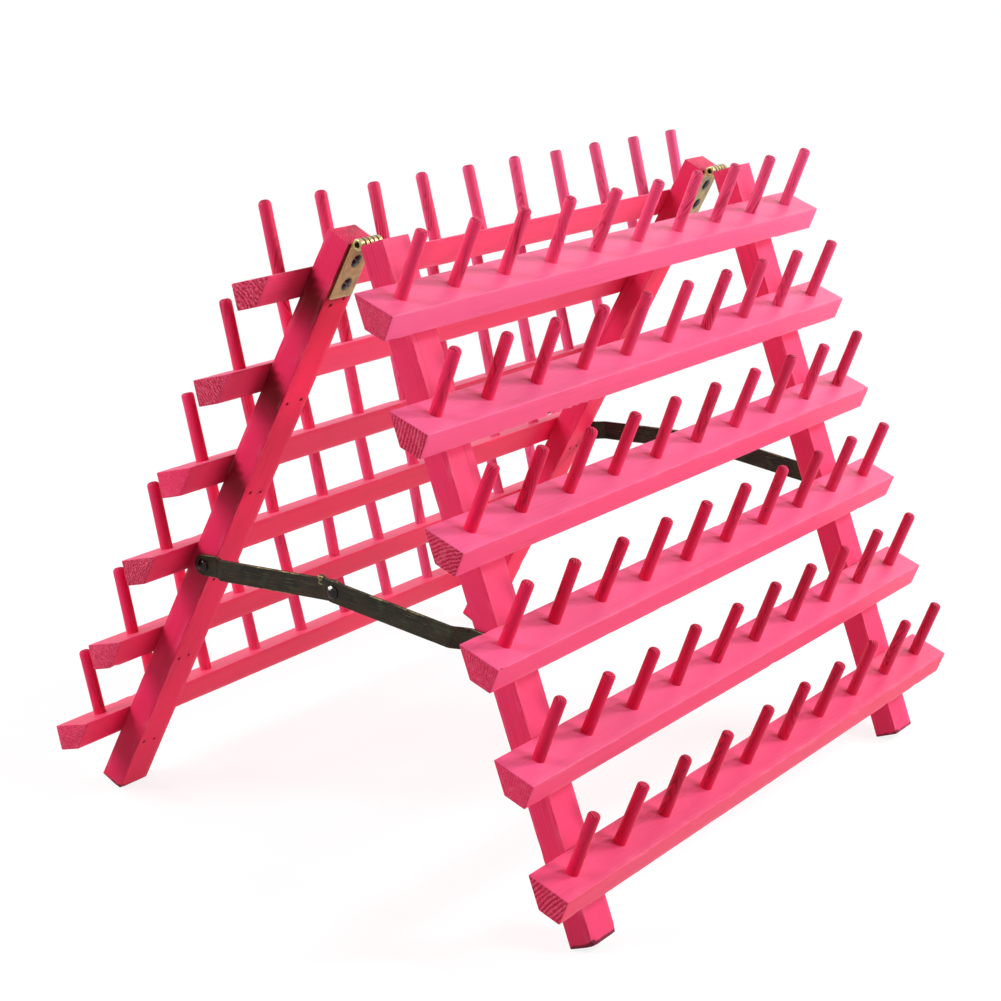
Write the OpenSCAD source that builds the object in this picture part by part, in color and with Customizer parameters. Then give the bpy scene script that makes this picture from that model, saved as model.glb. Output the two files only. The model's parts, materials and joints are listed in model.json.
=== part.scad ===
// Folding thread rack: two pegged ladder panels hinged together along the top,
// held open by a pair of folding elbow stays on the sides of the legs.
// X runs along the rails, the front panel leans towards -Y, and Z = 0 is the surface it stands on.

/* [Stance] */
// Lean of each panel from upright when the rack stands open, in degrees
lean = 23.75; // [18:0.25:30]

/* [Rails] */
// Number of rails on each panel
rails = 6; // [4:1:6]
// Length of a rail
rail_l = 400; // [370:5:440]
// Width of the top face of a rail
rail_w = 22.5; // [20:0.5:26]
// Thickness of a rail
rail_t = 12.4; // [11:0.2:14]
// Angle of the bevel that seats a rail on its legs, in degrees
bevel = 42; // [38:0.5:45]
// Distance from the hinge axis down the leg to the first rail
rail_first = 20.5; // [18:0.5:24]
// Spacing of the rails along the leg
rail_pitch = 51.8; // [48:0.2:56]
// Width of the planed flat on every long edge
ease = 0.5; // [0.3:0.1:0.8]

/* [Pegs] */
// Number of pegs on each rail
pegs = 10; // [8:2:10]
// Diameter of a peg
peg_d = 6; // [5:0.1:7]
// Height of a peg above its rail
peg_h = 33.3; // [25:0.1:38]
// Depth of the blind hole that holds a peg
peg_seat = 9; // [7:0.5:10]
// Width of the shoulder with which a peg sits on its rail
peg_shoulder = 0.25; // [0.2:0.05:0.5]
// Radius of the rounding on a peg's tip
peg_tip = 1.9; // [1:0.1:2.2]
// Clearance round a peg in its hole
peg_fit = 0.04; // [0.02:0.01:0.08]

/* [Legs] */
// Width of a leg, along the rails
leg_w = 20; // [18:0.5:24]
// Depth of a leg, across its panel
leg_t = 12.8; // [11:0.2:15]
// Distance from the end of a rail to the middle of a leg
leg_inset = 40; // [35:1:50]
// Distance from the hinge axis to the sawn top of a leg
leg_start = 1.2; // [1:0.1:3]
// Length of leg below the top edge of the last rail
foot_drop = 45; // [38:0.5:60]

/* [Brads] */
// Diameter of a brad
brad_d = 1.4; // [1.2:0.1:1.8]
// Length of a brad
brad_l = 22; // [18:0.5:24]
// Diameter of a brad's head
brad_head_d = 2.4; // [2:0.1:3]
// Height of a brad's head
brad_head_h = 0.8; // [0.6:0.1:1]
// Depth of a brad's head below the inner face of the leg
brad_sunk = 1.2; // [0.8:0.1:2]
// Distance of a brad below the top edge of its rail
brad_drop = 14; // [12:0.5:15]
// Distance between the two brads at a crossing
brad_gap = 9; // [7:0.5:11]

/* [Hinges] */
// Width of a hinge, along its pin
hinge_w = 16; // [14:0.5:18]
// Length of a leaf from the hinge axis
leaf_l = 30; // [28:0.5:31]
// Thickness of a leaf
leaf_t = 1.1; // [0.9:0.1:1.3]
// Outside diameter of the barrel
barrel_d = 5.6; // [5:0.1:6]
// Number of knuckles in a barrel
knuckles = 5; // [3:2:5]
// Diameter of the hinge pin
pin_d = 2.6; // [2.2:0.1:3]
// Depth of the pin's ends inside the barrel
pin_sunk = 0.4; // [0:0.1:1]
// Running clearance round the pin and between knuckles
hinge_fit = 0.05; // [0.03:0.01:0.08]
// Distance from the hinge axis to the first screw of a leaf
leaf_screw_first = 10.5; // [9:0.5:12]
// Distance between the two screws of a leaf
leaf_screw_gap = 12.2; // [10:0.1:14]

/* [Stays] */
// Number of the rail beside which the stays are screwed on, from the top
stay_rail = 4; // [3:1:4]
// Distance of the stay screws below the top edge of that rail
stay_drop = 7.6; // [6:0.2:8]
// Distance of the stay screws from the inner face of the leg
stay_inset = 4.5; // [4:0.1:6]
// Height of the elbow above the line through the leg screws when open
elbow_rise = 7; // [5:0.5:10]
// Width of a strap
strap_w = 10.5; // [9:0.1:11.5]
// Thickness of a strap
strap_t = 1.4; // [1.2:0.1:1.6]
// Outward step of the back strap
strap_step = 3.4; // [3:0.1:5]
// Slope of the step, in degrees
step_angle = 35; // [30:1:45]
// Inside radius of the bends
bend_r = 1; // [0.6:0.1:1.5]
// Length of strap between the leg screw and its first bend
tab_reach = 8; // [7:0.5:10]
// Gap between a strap and what it swings past
strap_gap = 0.25; // [0.2:0.05:0.4]
// Reach of the stop lug past the elbow
lug_reach = 8.5; // [8:0.5:10]
// Height of the stop lug
lug_h = 4; // [3:0.1:4.5]
// Length of the lug's turned-over edge
lug_edge = 3.4; // [2:0.1:4]
// Diameter of the elbow rivet
rivet_d = 3; // [2.5:0.1:3.5]
// Diameter of the rivet's domed head
rivet_head_d = 6.4; // [5.5:0.1:7]
// Height of the rivet's domed head
rivet_head_h = 1.6; // [1:0.1:2]
// Diameter of the rivet's formed tail
rivet_tail_d = 5.4; // [4.5:0.1:6]
// Height of the rivet's formed tail
rivet_tail_h = 0.9; // [0.5:0.1:1.2]

/* [Screws] */
// Diameter of a leaf screw's shank
leaf_screw_d = 2.6; // [2:0.1:3]
// Diameter of a leaf screw's countersunk head
leaf_head_d = 5.8; // [5:0.1:6.4]
// Height of the raised top of a countersunk head
leaf_head_rise = 0.6; // [0.3:0.1:0.9]
// Length of a leaf screw
leaf_screw_l = 10; // [8:0.5:11]
// Diameter of a stay screw's shank
stay_screw_d = 3; // [2.6:0.1:3.4]
// Diameter of a stay screw's round head
stay_head_d = 6; // [5.5:0.1:7]
// Height of a stay screw's round head
stay_head_h = 1.6; // [1.2:0.1:2]
// Length of a stay screw under its head
stay_screw_l = 13; // [10:0.5:15]
// Turn of a leaf screw's slot, in degrees
leaf_slot_turn = 35; // [0:5:90]
// Turn of a stay screw's slot, in degrees
stay_slot_turn = 70; // [0:5:90]
// Width of a screwdriver slot
slot_w = 0.8; // [0.6:0.1:1]
// Depth of a screwdriver slot
slot_t = 0.8; // [0.5:0.1:1]
// Clearance round a screw or brad in its hole
hole_fit = 0.03; // [0.02:0.01:0.06]
// Running clearance round a stay's pivots
pivot_fit = 0.08; // [0.05:0.01:0.1]

/* [Hidden] */
$fn = 48;
// The countersink under a leaf screw's head is as steep as a standard 90 degree head
leaf_head_depth = (leaf_head_d - leaf_screw_d) / 2;
// The pegs share the rail evenly, with half a space at either end
peg_pitch = rail_l / pegs;
peg_seat_d = peg_d - 2 * peg_shoulder;
// A leaf lies tangent to the barrel, so the leg's inner face is one barrel radius from the axis
leg_u = barrel_d / 2;
rail_u = leg_u + leg_t;
leg_x = rail_l / 2 - leg_inset;
leg_side = leg_x + leg_w / 2;
function rail_v(i) = rail_first + (i - 1) * rail_pitch;
leg_end = rail_v(rails) + foot_drop;
// The inner bottom edge of every leg rests on Z = 0
hinge_z = leg_end * cos(lean) - leg_u * sin(lean);
knuckle_w = hinge_w / knuckles;
// Depth below the barrel of the gaps that the other leaf's knuckles turn in
knuckle_relief = 4 * hinge_fit;
// Stay pivot on the leg, in the leg's own directions and then as it stands
stay_u = leg_u + stay_inset;
stay_v = rail_v(stay_rail) + stay_drop;
stay_y = stay_v * sin(lean) + stay_u * cos(lean);
stay_z = hinge_z - stay_v * cos(lean) + stay_u * sin(lean);
stay_tilt = atan(elbow_rise / stay_y);
stay_arm = norm([stay_y, elbow_rise]);
// The front strap passes outside the back strap at the elbow
front_step = strap_step + strap_t + strap_gap;
// Overshoot that lets a cut run clean through a face
over = 1;

// Places
// A panel's own directions: X along the rails, Y outwards, Z up the leg from the hinge axis
module on_back() {
    translate([0, 0, hinge_z]) rotate([lean, 0, 0]) children();
}

module on_front() {
    mirror([0, 1, 0]) on_back() children();
}

// On the top face of rail i, with Z square to that face and Y across it
module on_rail(i) {
    translate([0, rail_u, -rail_v(i)]) rotate([-bevel, 0, 0]) children();
}

// At every peg of rail i, on the middle of the top face
module at_pegs(i) {
    on_rail(i)
        for (k = [0:pegs - 1])
            translate([(k - (pegs - 1) / 2) * peg_pitch, rail_w / 2, 0]) children();
}

// At the two brads where rail i crosses the leg at x, with Z driving outwards
module at_brads(i, x) {
    for (s = [-1, 1])
        translate([x + s * brad_gap / 2, leg_u, -rail_v(i) - brad_drop])
            rotate([-90, 0, 0]) children();
}

// At the two screws of the leaf at x, on the leaf's open face, with Z driving outwards
module at_leaf_screws(x) {
    for (k = [0, 1])
        translate([x, leg_u - leaf_t, -leaf_screw_first - k * leaf_screw_gap])
            rotate([-90, 0, 0]) children();
}

// On the left side of a back leg at the stay pivot, with X to the elbow and Z outwards
module on_stay() {
    translate([-leg_side, stay_y, stay_z])
        rotate([90, 0, -90]) rotate([0, 0, stay_tilt]) children();
}

// Shapes
function unit(v) = v / norm(v);

// An outline with every corner cut back by c along both of its edges
function eased(p, c) = [
    for (i = [0:len(p) - 1])
        let (a = p[(i + len(p) - 1) % len(p)], q = p[i], b = p[(i + 1) % len(p)])
            each [q + c * unit(a - q), q + c * unit(b - q)]
];

// Points of an arc round c, for the bends of a strap
function arc(c, r, a0, a1, n = 6) = [
    for (i = [0:n]) let (a = a0 + (a1 - a0) * i / n) c + r * [cos(a), sin(a)]
];

module dome(d, h) {
    r = (d * d / 4 + h * h) / (2 * h);
    intersection() {
        translate([0, 0, h - r]) sphere(r = r, $fn = 96);
        cylinder(d = d, h = h);
    }
}

module slot(d) {
    translate([-d / 2 - over, -slot_w / 2, 0]) cube([d + 2 * over, slot_w, slot_t + over]);
}

// Countersunk screw with a raised, slotted head, driving along +Z from the plate's face
module leaf_screw() {
    difference() {
        union() {
            mirror([0, 0, 1]) dome(leaf_head_d, leaf_head_rise);
            cylinder(d1 = leaf_head_d, d2 = leaf_screw_d, h = leaf_head_depth);
            cylinder(d = leaf_screw_d, h = leaf_screw_l);
        }
        mirror([0, 0, 1]) rotate([0, 0, leaf_slot_turn]) translate([0, 0, leaf_head_rise - slot_t])
            slot(leaf_head_d);
    }
}

module leaf_screw_hole() {
    cylinder(
        d1 = leaf_head_d + 2 * hole_fit,
        d2 = leaf_screw_d + 2 * hole_fit,
        h = leaf_head_depth
    );
    translate([0, 0, -over]) cylinder(d = leaf_screw_d + 2 * hole_fit, h = leaf_screw_l + over + hole_fit);
}

// Round-headed slotted screw that a strap swings on, driving along -Z from the side of the leg
module stay_screw() {
    under_head = strap_gap + strap_t + strap_gap;
    difference() {
        union() {
            translate([0, 0, under_head]) dome(stay_head_d, stay_head_h);
            translate([0, 0, under_head - stay_screw_l]) cylinder(d = stay_screw_d, h = stay_screw_l);
        }
        rotate([0, 0, stay_slot_turn])
            translate([0, 0, under_head + stay_head_h - slot_t]) slot(stay_head_d);
    }
}

module stay_screw_hole() {
    deep = stay_screw_l - 2 * strap_gap - strap_t + hole_fit;
    translate([0, 0, -deep]) cylinder(d = stay_screw_d + 2 * hole_fit, h = deep + over);
}

module brad() {
    translate([0, 0, brad_sunk]) {
        cylinder(d = brad_head_d, h = brad_head_h);
        cylinder(d = brad_d, h = brad_l);
    }
}

module brad_hole() {
    translate([0, 0, -over])
        cylinder(d = brad_head_d + 2 * hole_fit, h = brad_sunk + brad_head_h + hole_fit + over);
    cylinder(d = brad_d + 2 * hole_fit, h = brad_sunk + brad_l + hole_fit);
}

// Wood, in a panel's own directions
module rail(i) {
    section = [[0, 0], [rail_w, 0], [rail_w, -rail_t], [rail_t * tan(bevel), -rail_t]];
    color("deeppink")
        difference() {
            on_rail(i)
                rotate([90, 0, 90])
                    linear_extrude(rail_l, center = true) polygon(eased(section, ease));
            at_pegs(i)
                translate([0, 0, -peg_seat])
                    cylinder(d = peg_seat_d + 2 * peg_fit, h = peg_seat + over);
            for (x = [-leg_x, leg_x]) at_brads(i, x) brad_hole();
        }
}

// Dowel with a rounded tip and a spigot below its shoulder at Z = 0
module peg() {
    profile_r = peg_d / 2;
    rotate_extrude() {
        translate([0, -peg_seat]) square([peg_seat_d / 2, peg_seat]);
        square([profile_r, peg_h - peg_tip]);
        square([profile_r - peg_tip, peg_h]);
        translate([profile_r - peg_tip, peg_h - peg_tip])
            intersection() {
                circle(r = peg_tip);
                square(peg_tip);
            }
    }
}

module peg_row(i) {
    color("hotpink") at_pegs(i) peg();
}

module leg(side) {
    x = side * leg_x;
    outline = [[-leg_w / 2, 0], [leg_w / 2, 0], [leg_w / 2, leg_t], [-leg_w / 2, leg_t]];
    color("crimson")
        difference() {
            translate([x, leg_u, -leg_end])
                linear_extrude(leg_end - leg_start) polygon(eased(outline, ease));
            for (i = [1:rails]) at_brads(i, x) brad_hole();
            at_leaf_screws(x) leaf_screw_hole();
            translate([side * leg_side, stay_u, -stay_v])
                rotate([0, side * 90, 0]) stay_screw_hole();
        }
}

module brads() {
    color("silver")
        for (i = [1:rails], x = [-leg_x, leg_x]) at_brads(i, x) brad();
}

// Hinges, in a panel's own directions: a leaf holds every second knuckle from number first
module leaf(side, first) {
    x0 = side * leg_x - hinge_w / 2;
    color("goldenrod")
        difference() {
            union() {
                translate([x0, leg_u - leaf_t, -leaf_l]) cube([hinge_w, leaf_t, leaf_l]);
                for (k = [first:2:knuckles - 1])
                    translate([x0 + k * knuckle_w, 0, 0]) knuckle(knuckle_w);
            }
            // Room for the other leaf's knuckles
            for (k = [1 - first:2:knuckles - 1])
                translate([x0 + k * knuckle_w - hinge_fit, -barrel_d, -barrel_d / 2 - knuckle_relief])
                    cube([knuckle_w + 2 * hinge_fit, 2 * barrel_d, barrel_d]);
            translate([x0 - over, 0, 0]) rotate([0, 90, 0])
                cylinder(d = pin_d + 2 * hinge_fit, h = hinge_w + 2 * over);
            at_leaf_screws(side * leg_x) leaf_screw_hole();
        }
}

module knuckle(w) {
    rotate([0, 90, 0]) cylinder(d = barrel_d, h = w);
}

module hinge_pin(side) {
    color("khaki")
        translate([side * leg_x - hinge_w / 2 + pin_sunk, 0, hinge_z])
            rotate([0, 90, 0]) cylinder(d = pin_d, h = hinge_w - 2 * pin_sunk);
}

module leaf_screws() {
    color("saddlebrown")
        for (x = [-leg_x, leg_x]) at_leaf_screws(x) leaf_screw();
}

// Stays
// Side view of a strap: flat on the leg, then stepped outwards to run clear of it
function strap_side(step) =
    let (
        z0 = strap_gap,
        mid = 2 * bend_r + strap_t,
        run = mid * sin(step_angle) + (step - mid * (1 - cos(step_angle))) / tan(step_angle),
        c1 = [tab_reach, z0 + strap_t + bend_r],
        c2 = [tab_reach + run, z0 + step - bend_r],
        tail = -strap_w / 2 - over,
        tip = stay_arm + lug_reach + over
    )
    concat(
        [[tail, z0]],
        arc(c1, bend_r + strap_t, -90, step_angle - 90),
        arc(c2, bend_r, 90 + step_angle, 90),
        [[tip, z0 + step], [tip, z0 + step + strap_t]],
        arc(c2, bend_r + strap_t, 90, 90 + step_angle),
        arc(c1, bend_r, step_angle - 90, -90),
        [[tail, z0 + strap_t]]
    );

// Plan view of a strap: round at the leg screw and at the rivet
module strap_plan() {
    circle(d = strap_w);
    translate([0, -strap_w / 2]) square([stay_arm, strap_w]);
    translate([stay_arm, 0]) circle(d = strap_w);
}

// Plan view of the lug's edge, which comes down on the top edge of the back strap
module lug_edge_plan() {
    translate([stay_arm, 0])
        rotate(-2 * stay_tilt)
            translate([lug_reach - lug_edge, strap_w / 2 + hinge_fit]) square([lug_edge, strap_t]);
}

module strap(step, lug) {
    difference() {
        union() {
            intersection() {
                rotate([90, 0, 0])
                    linear_extrude(2 * strap_w, center = true) polygon(strap_side(step));
                linear_extrude(strap_gap + step + strap_t + over) {
                    strap_plan();
                    if (lug) {
                        translate([stay_arm, strap_w / 2 - lug_h]) square([lug_reach, lug_h]);
                        lug_edge_plan();
                    }
                }
            }
            if (lug)
                translate([0, 0, strap_gap + strap_step])
                    linear_extrude(step - strap_step + strap_t) lug_edge_plan();
        }
        translate([0, 0, -over]) {
            cylinder(d = stay_screw_d + 2 * pivot_fit, h = strap_gap + strap_t + 2 * over);
            translate([stay_arm, 0, 0])
                cylinder(d = rivet_d, h = strap_gap + step + strap_t + 2 * over);
        }
    }
}

module back_strap() {
    color("darkolivegreen") on_stay() strap(strap_step, false);
}

module front_strap() {
    color("darkolivegreen") mirror([0, 1, 0]) on_stay() strap(front_step, true);
}

// The rivet is divided where the two straps meet, so that the elbow can open
module rivet_head() {
    color("peru")
        mirror([0, 1, 0]) on_stay()
            translate([stay_arm, 0, strap_gap + front_step]) {
                cylinder(d = rivet_d, h = strap_t);
                translate([0, 0, strap_t]) dome(rivet_head_d, rivet_head_h);
            }
}

module rivet_tail() {
    color("peru")
        on_stay()
            translate([stay_arm, 0, strap_gap + strap_step]) {
                cylinder(d = rivet_d, h = strap_t);
                mirror([0, 0, 1]) cylinder(d1 = rivet_tail_d, d2 = rivet_d, h = rivet_tail_h);
            }
}

module stay_screws() {
    color("saddlebrown")
        for (m = [0, 1]) mirror([m, 0, 0]) on_stay() stay_screw();
}

// The right-hand stay is the mirror image of the left-hand one
module right() {
    mirror([1, 0, 0]) children();
}

on_front() leg(-1);  // front_left_leg
on_front() leg(1);  // front_right_leg
on_back() leg(-1);  // back_left_leg
on_back() leg(1);  // back_right_leg
for (i = [1:rails]) on_front() rail(i);
for (i = [1:rails]) on_back() rail(i);
for (i = [1:rails]) on_front() peg_row(i);
for (i = [1:rails]) on_back() peg_row(i);
on_front() brads();  // front_brads
on_back() brads();  // back_brads
on_front() leaf(-1, 1);  // left_hinge_front_leaf
on_back() leaf(-1, 0);  // left_hinge_back_leaf
hinge_pin(-1);  // left_hinge_pin
on_front() leaf(1, 1);  // right_hinge_front_leaf
on_back() leaf(1, 0);  // right_hinge_back_leaf
hinge_pin(1);  // right_hinge_pin
on_front() leaf_screws();  // front_hinge_screws
on_back() leaf_screws();  // back_hinge_screws
front_strap();  // left_stay_front_strap
back_strap();  // left_stay_back_strap
right() front_strap();  // right_stay_front_strap
right() back_strap();  // right_stay_back_strap
rivet_head();  // left_rivet_head
rivet_tail();  // left_rivet_tail
right() rivet_head();  // right_rivet_head
right() rivet_tail();  // right_rivet_tail
mirror([0, 1, 0]) stay_screws();  // front_stay_screws
stay_screws();  // back_stay_screws
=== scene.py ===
"""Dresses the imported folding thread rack: painted pine battens and dowels, brassed hinges, bronzed elbow stays."""

import json
import math
from random import Random

import bmesh
import bpy
import numpy as np
from bpy.props import FloatProperty, FloatVectorProperty, IntProperty, PointerProperty
from mathutils import Euler, Matrix, Vector, noise


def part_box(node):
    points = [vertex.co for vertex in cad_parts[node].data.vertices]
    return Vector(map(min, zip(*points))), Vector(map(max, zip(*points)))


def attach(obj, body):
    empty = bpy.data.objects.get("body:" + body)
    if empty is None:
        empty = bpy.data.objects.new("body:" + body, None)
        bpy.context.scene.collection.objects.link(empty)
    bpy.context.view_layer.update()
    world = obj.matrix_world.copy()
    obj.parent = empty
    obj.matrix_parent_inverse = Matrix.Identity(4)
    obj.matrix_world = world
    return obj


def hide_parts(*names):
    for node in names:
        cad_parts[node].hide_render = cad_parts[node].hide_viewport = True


bl_info = {
    "name": "Folding thread rack",
    "version": (1, 0, 0),
    "blender": (4, 5, 0),
    "location": "3D View > Sidebar > Thread rack",
    "description": "Dresses the folding thread rack in painted wood, brassed hinges and bronzed stays",
    "category": "Object",
}

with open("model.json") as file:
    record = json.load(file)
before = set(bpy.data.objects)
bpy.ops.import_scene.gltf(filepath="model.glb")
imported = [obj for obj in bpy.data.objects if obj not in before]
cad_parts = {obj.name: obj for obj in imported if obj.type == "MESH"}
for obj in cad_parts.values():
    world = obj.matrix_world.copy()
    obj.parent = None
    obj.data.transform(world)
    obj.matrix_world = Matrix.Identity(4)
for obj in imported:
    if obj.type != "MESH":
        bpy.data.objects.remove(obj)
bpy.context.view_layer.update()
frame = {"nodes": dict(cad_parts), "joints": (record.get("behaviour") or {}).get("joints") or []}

JOINTS = {joint["name"]: joint for joint in frame["joints"]}
HINGE_Z = JOINTS["panel_fold"]["pos_m"][2]
LEAN = math.radians(JOINTS["panel_fold"]["range_deg"][1]) / 2
RAIL_LENGTH = (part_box("front_rail_1")[1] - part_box("front_rail_1")[0]).x
RAILS = sum(name.startswith("front_rail_") for name in frame["nodes"])
SIDES = {"left": -1, "right": 1}

# A panel's own directions are X along its rails, Y outwards and Z up its legs from the hinge axis.
# The front panel is the back one turned half round, so its own X runs the other way.
BACK = Matrix.Translation((0, 0, HINGE_Z)) @ Matrix.Rotation(LEAN, 4, "X")
PANELS = {"back": BACK, "front": Matrix.Rotation(math.pi, 4, "Z") @ BACK}
ALONG = {"back": 1, "front": -1}


# Settings


class RackWood(bpy.types.PropertyGroup):
    rail_width: FloatProperty(
        name="Rail width", description="Width of a rail's top face", default=0.0225, unit="LENGTH"
    )
    rail_depth: FloatProperty(
        name="Rail thickness", description="Thickness of a rail", default=0.0124, unit="LENGTH"
    )
    rail_bevel: FloatProperty(
        name="Rail bevel",
        description="Angle of the bevel that seats a rail on its legs",
        default=math.radians(42),
        subtype="ANGLE",
    )
    rail_first: FloatProperty(
        name="First rail", description="Distance from the hinge axis to the first rail", default=0.0205, unit="LENGTH"
    )
    rail_pitch: FloatProperty(
        name="Rail spacing", description="Spacing of the rails along a leg", default=0.0518, unit="LENGTH"
    )
    leg_width: FloatProperty(name="Leg width", description="Width of a leg", default=0.020, unit="LENGTH")
    leg_depth: FloatProperty(
        name="Leg depth", description="Depth of a leg across its panel", default=0.0128, unit="LENGTH"
    )
    leg_place: FloatProperty(
        name="Leg place", description="Distance of a leg's middle from the rack's middle", default=0.160, unit="LENGTH"
    )
    leg_face: FloatProperty(
        name="Leg face", description="Distance from the hinge axis to a leg's inner face", default=0.0028, unit="LENGTH"
    )
    leg_top: FloatProperty(
        name="Leg top", description="Distance from the hinge axis to a leg's sawn top", default=0.0012, unit="LENGTH"
    )
    foot_drop: FloatProperty(
        name="Foot", description="Length of leg below the last rail's top edge", default=0.045, unit="LENGTH"
    )
    edge_round: FloatProperty(
        name="Edge rounding", description="Radius of the worn long edges", default=0.0005, unit="LENGTH"
    )
    waver: FloatProperty(
        name="Waver", description="Depth of the sawn faces' unevenness", default=0.00012, unit="LENGTH"
    )
    nick_depth: FloatProperty(
        name="Nick depth", description="Depth of the largest nicks in the edges", default=0.0007, unit="LENGTH"
    )
    seed: IntProperty(name="Seed", description="Seed of the nicks and the grain", default=7)


class RackPegs(bpy.types.PropertyGroup):
    count: IntProperty(name="Pegs", description="Number of pegs on a rail", default=10, min=2)
    radius: FloatProperty(name="Radius", description="Radius of a peg", default=0.003, unit="LENGTH")
    height: FloatProperty(
        name="Height", description="Height of a peg above its rail", default=0.0333, unit="LENGTH"
    )
    seat: FloatProperty(
        name="Seat", description="Depth of a peg's spigot in its rail", default=0.0089, unit="LENGTH"
    )
    shoulder: FloatProperty(
        name="Shoulder", description="Width of the shoulder above the spigot", default=0.0006, unit="LENGTH"
    )
    hole: FloatProperty(
        name="Hole", description="Radius of the holes that the pegs sit in", default=0.00279, unit="LENGTH"
    )
    lean: FloatProperty(
        name="Lean", description="Largest lean of a peg out of square", default=math.radians(2.2), subtype="ANGLE"
    )
    grain_slope: FloatProperty(
        name="Grain slope", description="Slope of the grain across a peg", default=0.42, subtype="FACTOR"
    )


class RackPaint(bpy.types.PropertyGroup):
    # The first two colours are lit and shaded copies of one paint: painted light on faces where light falls, painted
    # shade on faces that light seldom reaches
    pink: FloatVectorProperty(
        name="Pink", description="Paint on faces that lie open to the light", default=(0.90, 0.12, 0.295), size=3, subtype="COLOR"
    )
    shaded_pink: FloatVectorProperty(
        name="Shaded pink", description="Paint on sheltered faces", default=(0.96, 0.006, 0.090), size=3, subtype="COLOR"
    )
    deep: FloatVectorProperty(
        name="Deep pink", description="Paint soaked into end grain", default=(0.40, 0.006, 0.034), size=3, subtype="COLOR"
    )
    pale: FloatVectorProperty(
        name="Pale pink", description="Paint rubbed thin", default=(0.95, 0.20, 0.32), size=3, subtype="COLOR"
    )


class RackMetal(bpy.types.PropertyGroup):
    brass: FloatVectorProperty(
        name="Brass", description="Colour of the hinges", default=(0.46, 0.35, 0.13), size=3, subtype="COLOR"
    )
    bronze: FloatVectorProperty(
        name="Bronze", description="Colour of the stays", default=(0.034, 0.023, 0.014), size=3, subtype="COLOR"
    )
    rubbed: FloatVectorProperty(
        name="Rubbed edge", description="Brass showing on worn edges", default=(0.30, 0.22, 0.10), size=3, subtype="COLOR"
    )
    steel: FloatVectorProperty(
        name="Steel", description="Colour of the screws and rivets", default=(0.014, 0.011, 0.013), size=3, subtype="COLOR"
    )
    knuckles: IntProperty(name="Knuckles", description="Number of knuckles in a hinge", default=5)
    voxel: FloatProperty(
        name="Metal detail", description="Size of the mesh on the pressed metal", default=0.0003, unit="LENGTH"
    )


class RackStage(bpy.types.PropertyGroup):
    camera: FloatVectorProperty(
        name="Camera", description="Place of the camera", default=(-0.98436, -0.60471, 0.49107), size=3, unit="LENGTH"
    )
    target: FloatVectorProperty(
        name="Target", description="Point on the view axis", default=(-0.011656, 0.018201, 0.140565), size=3, unit="LENGTH"
    )
    roll: FloatProperty(
        name="Roll", description="Turn of the camera about its axis", default=math.radians(3.2858), subtype="ANGLE"
    )
    lens: FloatProperty(name="Lens", description="Focal length in millimetres", default=84.6226)
    key: FloatProperty(name="Key", description="Power of the main softbox in watts", default=27.0)
    fill: FloatProperty(name="Fill", description="Strength of the sky", default=0.1)


def settings(group):
    return getattr(bpy.context.scene, "rack_" + group)


# Node trees


class Socket:
    """A node's output, on which Python arithmetic adds Math nodes."""

    def __init__(self, graph, link):
        self.graph, self.link = graph, link

    def math(self, operation, *others):
        return self.graph.math(operation, self, *others)

    def __add__(self, other):
        return self.math("ADD", other)

    __radd__ = __add__

    def __mul__(self, other):
        return self.math("MULTIPLY", other)

    __rmul__ = __mul__

    def __sub__(self, other):
        return self.math("SUBTRACT", other)

    def __rsub__(self, other):
        return self.graph.math("SUBTRACT", other, self)

    def __truediv__(self, other):
        return self.math("DIVIDE", other)

    def __pow__(self, other):
        return self.math("POWER", other)

    def smooth(self, low, high):
        """0 below low, 1 above high and eased between."""
        return self.graph.add(
            "ShaderNodeMapRange", {"interpolation_type": "SMOOTHSTEP"}, {"Value": self, "From Min": low, "From Max": high}
        )

    def scaled(self, *by):
        return self.graph.add("ShaderNodeVectorMath", {"operation": "MULTIPLY"}, {0: self, 1: by})

    def shifted(self, by):
        return self.graph.add("ShaderNodeVectorMath", {"operation": "ADD"}, {0: self, 1: by})

    def split(self):
        node = self.graph.add("ShaderNodeSeparateXYZ", inputs={0: self}).link.node
        return [Socket(self.graph, output) for output in node.outputs]


class Graph:
    """A node tree that is written as expressions."""

    def __init__(self, tree):
        self.tree = tree

    def add(self, kind, setup=None, inputs=None, output=0):
        """One node: its settings first, then the values or links of its sockets."""
        node = self.tree.nodes.new(kind)
        for name, value in (setup or {}).items():
            if name == "stops":
                self.ramp(node.color_ramp.elements, value)
            elif name == "choices":
                for _ in range(value - len(node.index_switch_items)):
                    node.index_switch_items.new()
            else:
                setattr(node, name, value)
        for key, value in (inputs or {}).items():
            self.feed(node.inputs[key], value)
        return Socket(self, node.outputs[output])

    def ramp(self, elements, stops):
        while len(elements) < len(stops):
            elements.new(0.5)
        for element, (place, colour) in zip(elements, stops):
            element.position, element.color = place, (*colour, 1)

    def feed(self, target, value):
        if isinstance(value, Socket):
            self.tree.links.new(value.link, target)
        elif value is not None:
            target.default_value = value

    def math(self, operation, *values):
        return self.add("ShaderNodeMath", {"operation": operation}, dict(enumerate(values)))

    def mix(self, factor, a, b):
        """Colour a where factor is 0 and b where it is 1."""
        a, b = (c if isinstance(c, Socket) else (*c, 1) for c in (a, b))
        return self.add("ShaderNodeMix", {"data_type": "RGBA"}, {0: factor, 6: a, 7: b}, output=2)

    def noise(self, vector, scale=1.0, detail=2.0, roughness=0.5):
        return self.add(
            "ShaderNodeTexNoise", None, {"Vector": vector, "Scale": scale, "Detail": detail, "Roughness": roughness}
        )

    def attribute(self, name, output="Fac"):
        return self.add("ShaderNodeAttribute", {"attribute_name": name}, output=output)

    def bump(self, height, strength=1.0):
        return self.add("ShaderNodeBump", None, {"Height": height, "Distance": 1.0, "Strength": strength})


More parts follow.
